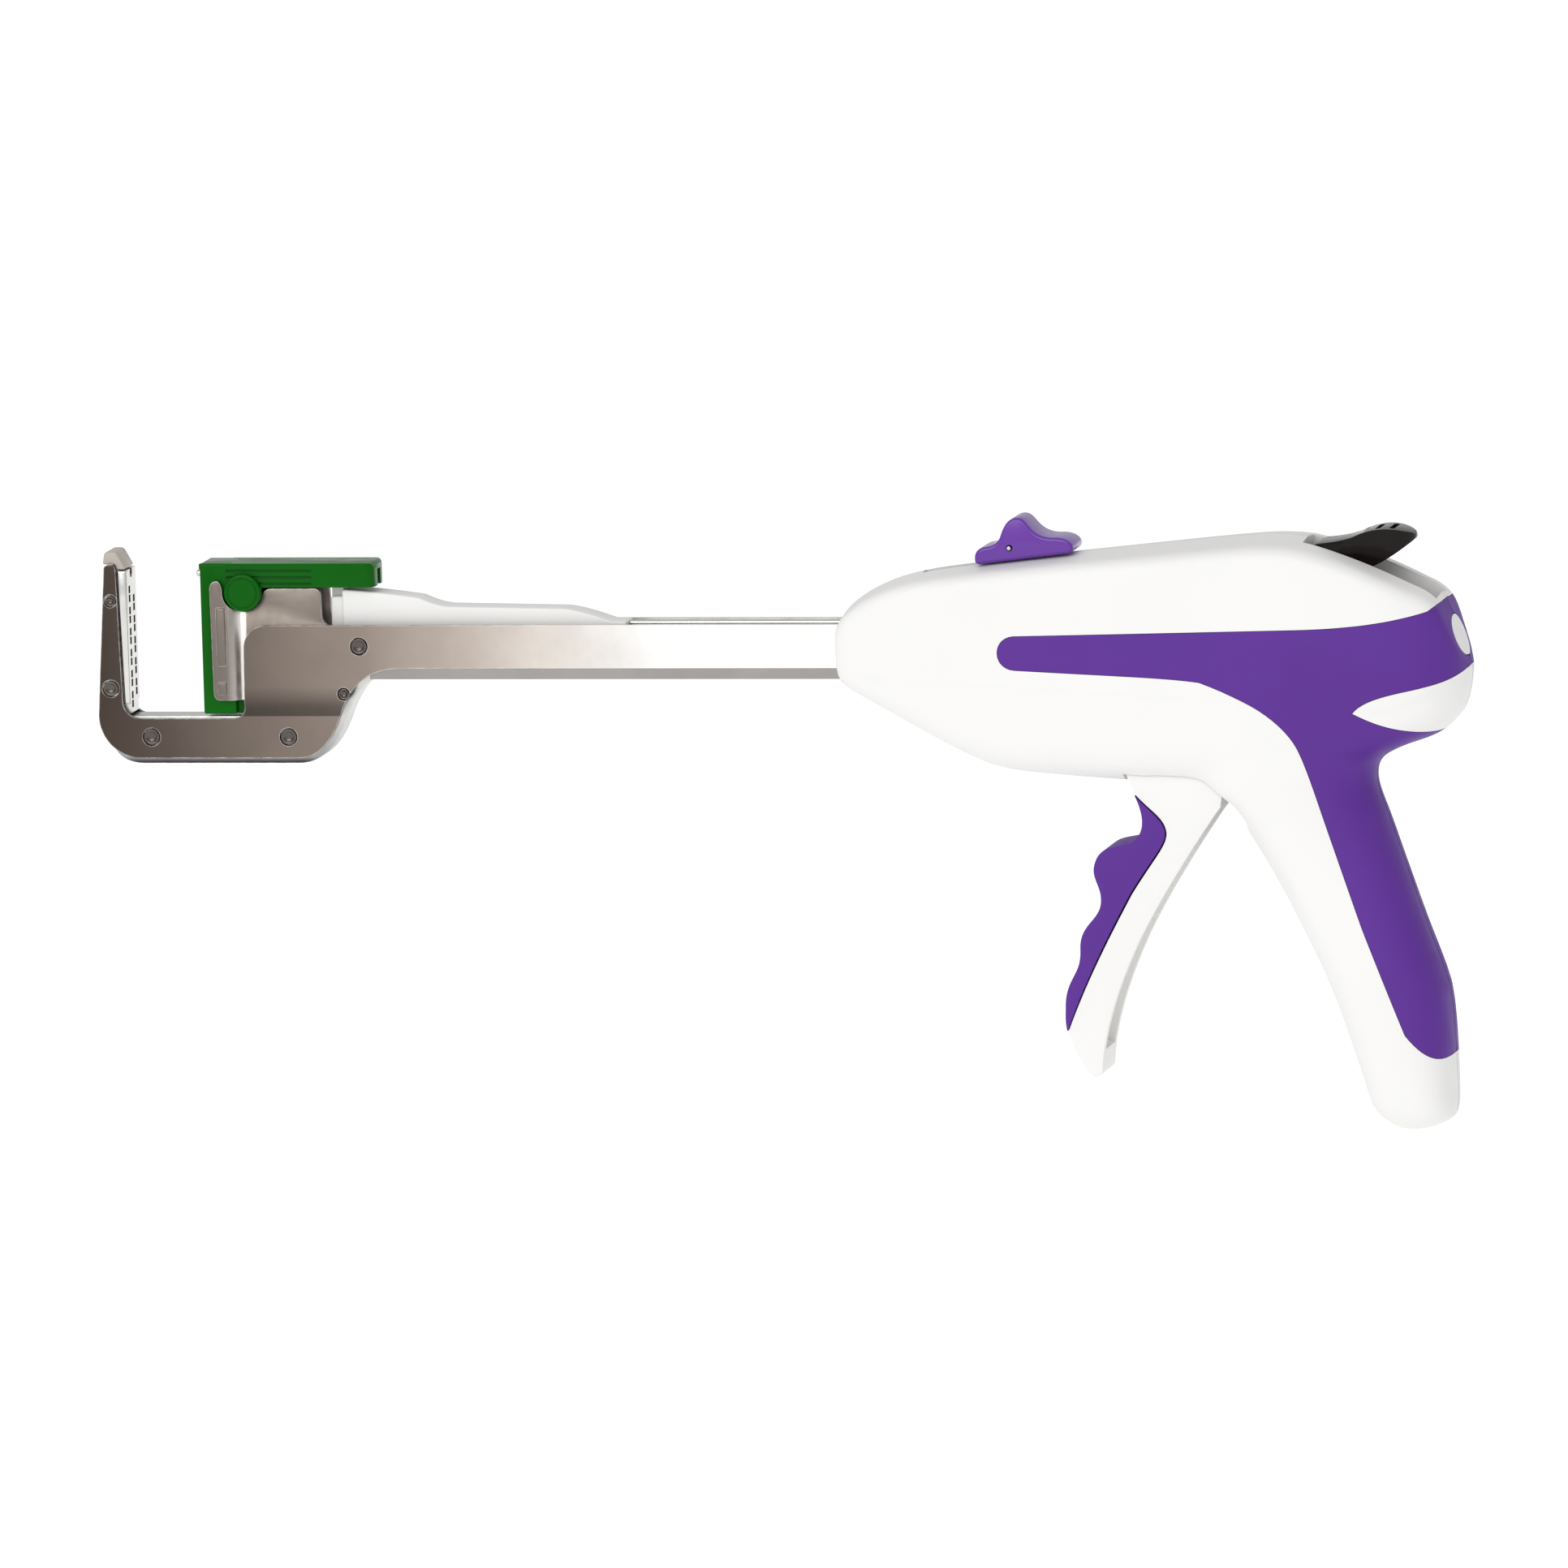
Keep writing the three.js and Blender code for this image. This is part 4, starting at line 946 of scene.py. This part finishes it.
rivetPlaces = {
    "anvil_rivet_upper": (-295.9, 70.7, 1.3, 0.9),
    "anvil_rivet_lower": (-296.4, 49.9, 1.8, 0.9),
    "jaw_rivet_front": (-286.9, 38.4, 1.9, 0.9),
    "jaw_rivet_rear": (-253.8, 38.4, 1.9, 0.9),
    "shaft_rivet": (-235.8, 60.1, 1.9, 1.5),
    "guide_pin": (-239.8, 48.8, 1.3, 0.8),
}


def bentSheet(low, high, x0, x1):
    # the sheet's section: outside of the shaft above, stepped in to the jaw below
    steps = 10
    outer, inner = [], []
    for k in range(steps + 1):
        t = k / steps
        s = t * t * (3 - 2 * t)
        z = plate["bendTop"] + (plate["bendLow"] - plate["bendTop"]) * t
        y = plate["shaftInner"] + (plate["jawInner"] - plate["shaftInner"]) * s
        outer.append((-y - plate["thick"], z))
        inner.append((-y, z - 0.2))
    section = [(outer[0][0], high), *outer, (outer[-1][0], low)]
    section += [(inner[-1][0], low), *inner[::-1], (inner[0][0], high)]
    return outlineSolid("sheet", section, x0, x1, "length")


def buildPlates():
    sheet = bentSheet(20, 90, -285, -50)
    reach = plate["jawInner"] + plate["thick"]
    fuse(sheet, block(-310, -284.95, -reach, -plate["jawInner"], 20, 90))
    combine(sheet, [outlineSolid("profile", readOutline(plateSpec, 24), -20, 20)], "INTERSECT")
    holes = [crossBar(x, z, head + 0.25, -20, 0, 40) for x, z, head, _ in rivetPlaces.values()]
    combine(sheet, holes, "DIFFERENCE")
    softenEdges(sheet, 0.16, 2, 50)
    setPiece(mirrorPiece(sheet, "farPlate"), "right_side_plate", plateSteel)
    setPiece(sheet, "left_side_plate", plateSteel)


def rivet(name, x, z, head, shank, reach):
    # a head at each end with a pressed dish, and a thin shank between
    piece = crossBar(x, z, head, -reach, reach, 40, name)
    editAll(piece)
    bpy.ops.mesh.select_all(action="DESELECT")
    bpy.ops.mesh.select_mode(type="FACE")
    mesh = bmesh.from_edit_mesh(piece.data)
    for face in mesh.faces:
        face.select = abs(face.normal.y) > 0.9
    bmesh.update_edit_mesh(piece.data)
    bpy.ops.mesh.inset(thickness=head * 0.3 * mm, use_individual=True)
    mesh = bmesh.from_edit_mesh(piece.data)
    ends = [face for face in mesh.faces if face.select]
    for share, depth in ((0.82, 0.25), (0.5, 0.2)):
        made = []
        for face in ends:
            side = math.copysign(1, face.calc_center_median().y)
            fresh = bmesh.ops.extrude_discrete_faces(mesh, faces=[face])["faces"][0]
            centre = fresh.calc_center_median()
            for vertex in fresh.verts:
                vertex.co = centre + (vertex.co - centre) * share
                vertex.co.y -= side * depth * mm
            made.append(fresh)
        ends = made
    bmesh.update_edit_mesh(piece.data)
    leaveEdit()
    editAll(piece)
    bpy.ops.mesh.remove_doubles(threshold=0.001 * mm)
    bpy.ops.mesh.normals_make_consistent(inside=False)
    leaveEdit()
    ring = crossBar(x, z, head + 1, -reach + plate["thick"], reach - plate["thick"], 40)
    core = crossBar(x, z, shank, -reach, reach, 24)
    cut(ring, core)
    cut(piece, ring)
    return softenEdges(piece, 0.18, 3, 40)


spacerSpec = [
    (-296.8, 43.2), (-297.4, 40.4), (-297, 32, -289, 32), (-251.8, 32),
    (-245.6, 32, -242.2, 36.9, -240.1, 42.3), (-238.2, 47.4, -235.4, 50.4), (-233.2, 52.3, -230.4, 52.7),
    (-230.4, 53.3), (-238.4, 53.3), (-243, 50.4), (-243, 46.8), (-260.6, 46.8), (-261.2, 43.2),
]
anvilFace = -291.9
stemSpec = [(-298.7, 43.9), (anvilFace, 43.9), (anvilFace, 77.8), (-296.7, 77.8)]
faceSpec = [
    (anvilFace - 1.3, 46.2), (anvilFace, 46.2), (anvilFace, 77.8), (anvilFace - 2.2, 77.8),
]
capSpec = [
    (-297.7, 79.25), (-297.3, 81.6), (-297, 82.3, -296.2, 82.3), (-295, 82.3),
    (-294.3, 82.3, -293.9, 81.5), (-292.3, 78.6), (-292.3, 78), (-294.4, 78), (-294.6, 79.25),
]
staples = {"count": 11, "pitch": 5, "first": 47, "rowY": 1.5}


def stapleCentre(k):
    return staples["first"] + staples["pitch"] / 2 * k, staples["rowY"] if k % 2 else -staples["rowY"]


def buildJaw():
    buildPlates()
    for node, (x, z, head, shank) in rivetPlaces.items():
        wide = node in ("shaft_rivet", "guide_pin")
        reach = (plate["shaftInner"] if wide else plate["jawInner"]) + plate["thick"]
        setPiece(rivet(node, x, z, head, shank, reach), node, rivetSteel)
    spacer = outlineSolid("spacer", readOutline(spacerSpec, 20), -3.8, 3.8)
    bores = {"jaw_rivet_front": 1.3, "jaw_rivet_rear": 1.3, "guide_pin": 1.1}
    holes = [crossBar(*rivetPlaces[node][:2], bore, -9, 9) for node, bore in bores.items()]
    combine(spacer, holes, "DIFFERENCE")
    softenEdges(spacer, 0.5, 3)
    setPiece(spacer, "jaw_spacer", spacerSteel)

    stem = outlineSolid("stem", readOutline(stemSpec), -3.8, 3.8)
    face = outlineSolid("face", readOutline(faceSpec), -5, 5)
    softenEdges(face, 0.35, 3)
    fuse(stem, face)
    pockets = []
    for k in range(staples["count"]):
        z, y = stapleCentre(k)
        for side in (-1, 1):
            pockets.append(roundBar(anvilFace + 0.05, y * 1.4, z + side * 1.05, 0.85, 1.75, "z", 20))
    combine(stem, pockets, "DIFFERENCE")
    cut(stem, roundBar(anvilFace - 1.25, 0, 76.9, 1.2, 4.5, "x"))
    for node in ("anvil_rivet_upper", "anvil_rivet_lower"):
        cut(stem, crossBar(*rivetPlaces[node][:2], 1.15, -9, 9))
    setPiece(stem, "anvil", brightSteel)
    # faces inside the anvil's staple pockets take a near-black finish: painted shade in the pockets
    stem.data.materials.append(pocketShadeSteel)
    for polygon in stem.data.polygons:
        centre = polygon.center / mm
        if anvilFace - 1 < centre.x < anvilFace - 0.02 and abs(centre.y) < 3.2 and 44 < centre.z < 75:
            polygon.material_index = 1

    cap = outlineSolid("cap", readOutline(capSpec), -4.5, 4.5)
    softenEdges(cap, 0.6, 4)
    setPiece(cap, "anvil_cap", palePlastic)
    print("jaw made")


buildJaw()


# cartridge and carrier

tissueFace = -274
cartridge = {
    "half": 5.6, "midHalf": 3.8, "bottom": 43.9, "top": 79.6,
    "beamBottom": 73.9, "beamRear": -232, "corner": 2.6,
}
boss = {"x": -263.5, "z": 72.8, "radius": 4.4, "rim": 3.7, "hub": 3.3}
footSpec = [(-265.4, 44.5), (-262.6, 50), (-260.4, 44.5)]


def sidePair(side, near, far):
    return sorted((side * near, side * far))


def buildCartridge():
    half, mid, top = cartridge["half"], cartridge["midHalf"], cartridge["top"]
    low, rear, corner = cartridge["beamBottom"], cartridge["beamRear"], cartridge["corner"]
    front = block(tissueFace, -266.1, -half, half, cartridge["bottom"], top, "cartridge")
    softenEdges(front, 0.5, 3)
    beamSpec = [
        (-268.2, low), (-268.2, top), (rear - 1.6, top), (rear, top, rear, top - 2.4), (rear, low),
    ]
    beamPlan = [
        (-270, -half), (rear - corner, -half), (rear, -half, rear, corner - half),
        (rear, half - corner), (rear, half, rear - corner, half), (-270, half),
    ]
    beam = outlineSolid("beam", readOutline(beamSpec), -half, half)
    combine(beam, [outlineSolid("plan", readOutline(beamPlan), 70, 90, "plan")], "INTERSECT")
    softenEdges(beam, 0.7, 4)
    fuse(front, block(-266.2, -261.4, -mid, mid, 43.9, 74.9))
    fuse(front, block(-261.5, -257, -mid, mid, 49, 63.5), beam)
    for side in (-1, 1):
        disc = crossBar(boss["x"], boss["z"], boss["radius"], *sidePair(side, 4.9, 7.3), 64)
        softenEdges(disc, 0.45, 4)
        fuse(front, disc)
        rim = crossBar(boss["x"], boss["z"], boss["rim"], *sidePair(side, 7.1, 8), 64)
        hub = crossBar(boss["x"], boss["z"], boss["hub"], *sidePair(side, 7, 8), 64)
        cut(front, cut(rim, hub))
        foot = outlineSolid("foot", readOutline(footSpec), *sidePair(side, 3.7, 4.3))
        softenEdges(foot, 0.2, 2)
        fuse(front, foot)
    fuse(front, block(tissueFace - 1.2, tissueFace + 0.2, -1, 1, 77.7, 78.9))
    slots = []
    for k in range(staples["count"]):
        z, y = stapleCentre(k)
        slots.append(block(tissueFace - 1, -266, y - 0.5, y + 0.5, z - 2.3, z + 2.3))
    combine(front, slots, "DIFFERENCE")
    for cutter in (
        block(tissueFace + 5.5, -261.3, -3, 3, 44.6, 74.4),
        block(-262, -256, -3, 3, 50, 62.8),
        block(-262, -225, -1.6, 1.6, low - 1, 77.8),
        roundBar(-268, 0, 76.7, 1.2, 16, "x"),
    ):
        cut(front, cutter)
    for z in (77.9, 76.3, 74.8):
        for y in (-half - 0.3, half + 0.3):
            groove = block(-267.6, -247, y - 0.8, y + 0.8, z - 0.3, z + 0.3)
            softenEdges(groove, 0.15, 2)
            cut(front, groove)
    setPiece(front, "cartridge", greenCartridge)
    print("cartridge made")


carrierPin = {"x": -250, "z": 55, "radius": 0.9}
carrier = {"rearInner": 4.4, "frontInner": 6, "thick": 1.1, "bottom": 47.3, "rear": -243.5}
carrierSpec = [
    (-271.4, 73.9), (-271.2, 75.6, -269.6, 75.6), (-268.4, 75.3, -268.4, 72.2),
    (-267.8, 68.8, -263.5, 68.1), (-259.6, 68.7, -258.9, 72.3), (-258.4, 73.6, -256.8, 73.6),
    (-246.5, 73.6), (-245.1, 73.6, -245, 71.8), (-244.9, 67), (-244.6, 65.6, -243.5, 65),
    (-243.5, 47.3), (-269.4, 47.3), (-271, 47.3, -271.1, 49),
]


def buildCarrier():
    inner, wide, thick = carrier["rearInner"], carrier["frontInner"], carrier["thick"]
    steps = 10
    outside, inside = [], []
    for k in range(steps + 1):
        t = k / steps
        s = t * t * (3 - 2 * t)
        x = -266.6 + 2.6 * t
        outside.append((x - 0.3, -(wide + (inner - wide) * s) - thick))
        inside.append((x, -(wide + (inner - wide) * s)))
    rear = carrier["rear"]
    flange = [(-275, inside[0][1]), *inside, (rear, -inner), (rear, -inner - thick)]
    flange += [*outside[::-1], (-275, outside[0][1])]
    side = outlineSolid("flange", flange, 20, 90, "plan")
    combine(side, [outlineSolid("profile", readOutline(carrierSpec, 16), -20, 20)], "INTERSECT")
    softenEdges(side, 0.16, 2, 50)
    face = -wide - thick
    for low, high in ((55.5, 69.3), (48.7, 51.6)):
        rib = block(-270, -267.8, face - 0.45, face + 0.3, low, high)
        softenEdges(rib, 0.42, 4)
        fuse(side, rib)
    far = mirrorPiece(side, "farSide")
    floor = carrier["bottom"]
    fuse(side, far, block(-260, rear, -inner - 0.2, inner + 0.2, floor, floor + 1.2))
    cut(side, crossBar(carrierPin["x"], carrierPin["z"], 1.5, -9, 9))
    setPiece(side, "cartridge_carrier", carrierSteel)
    print("carrier made")


buildCartridge()
buildCarrier()


# pin pusher, screws, pins and the rest

pusherSpec = [
    (-240.2, 64), (-240.2, 73.2), (-231, 72.6, -221.6, 71.2), (-217.5, 69.3, -214.5, 69.1),
    (-186.9, 68.6), (-183, 68.2, -175.7, 65.6), (-172, 65.5), (-172, 64),
]


def buildSmallParts():
    pusher = outlineSolid("pusher", readOutline(pusherSpec), -4, 4)
    softenEdges(pusher, 0.5, 4)
    neck = block(-243.1, -239.8, -3.1, 3.1, 64, 71.5)
    softenEdges(neck, 0.5, 4)
    fuse(pusher, neck, block(-243.1, -240.4, -1.3, 1.3, 71, 77.5))
    setPiece(pusher, "pin_pusher", whiteShell)

    for k, (x, z) in enumerate(screwPlaces):
        screw = crossBar(x, z, 2.5, 9.3, 11.2, 40)
        softenEdges(screw, 0.4, 4)
        fuse(screw, crossBar(x, z, 1.1, -6, 9.4, 24))
        cut(screw, block(x - 2, x + 2, 10.5, 12, z - 0.35, z + 0.35),
            block(x - 0.35, x + 0.35, 10.5, 12, z - 2, z + 2))
        setPiece(screw, f"housing_screw_{k + 1}", brightSteel)

    rounds = {
        "trigger_pivot_pin": (pivot, 9.2),
        "trigger_drive_pin": (drivePin, 4),
        "spring_anchor_pin": (springAnchor, 11.2),
        "release_pivot_pin": (leverPivot, 9.3),
        "latch_pin": (latchPivot, 11.2),
        "thumb_slide_pin": (slidePin, 6.7),
        "carrier_pin": (carrierPin, 5.4),
    }
    for node, (place, reach) in rounds.items():
        pin = crossBar(place["x"], place["z"], place["radius"], -reach, reach)
        softenEdges(pin, 0.2, 3)
        setPiece(pin, node, brightSteel)

    pin = lengthBar(76.7, 0.85, -275.9, -243.4, 24)
    softenEdges(pin, 0.4, 4)
    setPiece(pin, "retaining_pin", brightSteel)
    rod = lengthBar(64.7, 0.75, -171.7, -76, 20)
    fuse(rod, block(-79, -76, -1.1, 1.1, 64, 75))
    setPiece(rod, "pin_rod", brightSteel)

    carried = {
        "shaft_channel": (channelSteel, "bright_steel"),
        "closing_bar": (brightSteel, "bright_steel"),
        "firing_bar": (brightSteel, "bright_steel"),
        "staple_driver": (palePlastic, "pale_plastic"),
        "release_tongue": (brightSteel, "bright_steel"),
        "latch_pawl": (brightSteel, "bright_steel"),
    }
    for node, (look, slotName) in carried.items():
        piece = fromNode(node)
        softenEdges(piece, 0.12, 2)
        setPiece(piece, node, look)
    for node in [f"staple_{k + 1:02d}" for k in range(staples["count"])] + ["return_spring"]:
        nodes[node].data.materials.clear()
        nodes[node].data.materials.append(brightSteel)
    print("small parts made")


buildSmallParts()


# floor, light and camera

studio = {
    "floorHeight": -0.21,
    "floorGlow": 0.34,
    "skyStrength": 0.64,
    "sunStrength": 1.05,
    "sunAngle": 45,
    "sunFrom": (-0.25, -0.85, 0.5),
    "panelPower": 1.2,
    "panelPlace": (0.1, -1.6, 1.0),
    "panelAim": (-0.13, 0, 0.04),
}


def buildStudio():
    clearSelection()
    middle = (0, 0, studio["floorHeight"])
    bpy.ops.mesh.primitive_grid_add(x_subdivisions=4, y_subdivisions=4, size=60, location=middle)
    floor = bpy.context.object
    floor.name = "floor"
    material, shader, place = startFinish("floorPaint", 0.9)
    tones = [(0.3, (0.93, 0.93, 0.93)), (0.7, (0.95, 0.95, 0.95))]
    rampColour(material, addNoise(material, place, 0.5), tones, shader.inputs["Base Color"])
    shader.inputs["Emission Color"].default_value = (1, 1, 1, 1)
    shader.inputs["Emission Strength"].default_value = studio["floorGlow"]
    floor.data.materials.append(material)

    world = bpy.data.worlds.new("studioSky")
    bpy.context.scene.world = world
    world.use_nodes = True
    sky = world.node_tree.nodes["Background"]
    sky.inputs["Color"].default_value = (1, 1, 1, 1)
    sky.inputs["Strength"].default_value = studio["skyStrength"]

    sun = bpy.data.lights.new("softSun", "SUN")
    sun.energy = studio["sunStrength"]
    sun.angle = math.radians(studio["sunAngle"])
    lamp = bpy.data.objects.new("softSun", sun)
    lamp.rotation_euler = Vector(studio["sunFrom"]).to_track_quat("Z", "Y").to_euler()
    bpy.context.scene.collection.objects.link(lamp)

    panel = bpy.data.lights.new("frontPanel", "AREA")
    panel.shape = "RECTANGLE"
    panel.size = 0.9
    panel.size_y = 0.5
    panel.energy = studio["panelPower"]
    stand = bpy.data.objects.new("frontPanel", panel)
    stand.location = studio["panelPlace"]
    away = Vector(stand.location) - Vector(studio["panelAim"])
    stand.rotation_euler = away.to_track_quat("Z", "Y").to_euler()
    bpy.context.scene.collection.objects.link(stand)

    bpy.context.scene.view_settings.view_transform = "Standard"


cameraSet = {
    "right": (0.97858, 0.20380, -0.02928),
    "up": (0.0, 0.14222, 0.98984),
    "back": (0.20589, -0.96863, 0.13917),
    "aside": -0.13403,
    "above": 0.02621,
    "distance": 6.0,
    "lens": 589.6,
}


def buildCamera():
    lens = bpy.data.cameras.new("camera")
    lens.lens = cameraSet["lens"]
    lens.sensor_width = 36
    lens.clip_start = 0.05
    lens.clip_end = 200
    camera = bpy.data.objects.new("camera", lens)
    right, up, back = (Vector(cameraSet[key]).normalized() for key in ("right", "up", "back"))
    aim = right * cameraSet["aside"] + up * cameraSet["above"]
    place = aim + back * cameraSet["distance"]
    turn = Matrix((right, up, back)).transposed().to_4x4()
    camera.matrix_world = Matrix.Translation(place) @ turn
    bpy.context.scene.collection.objects.link(camera)
    bpy.context.scene.camera = camera


buildStudio()
buildCamera()
print("studio made")
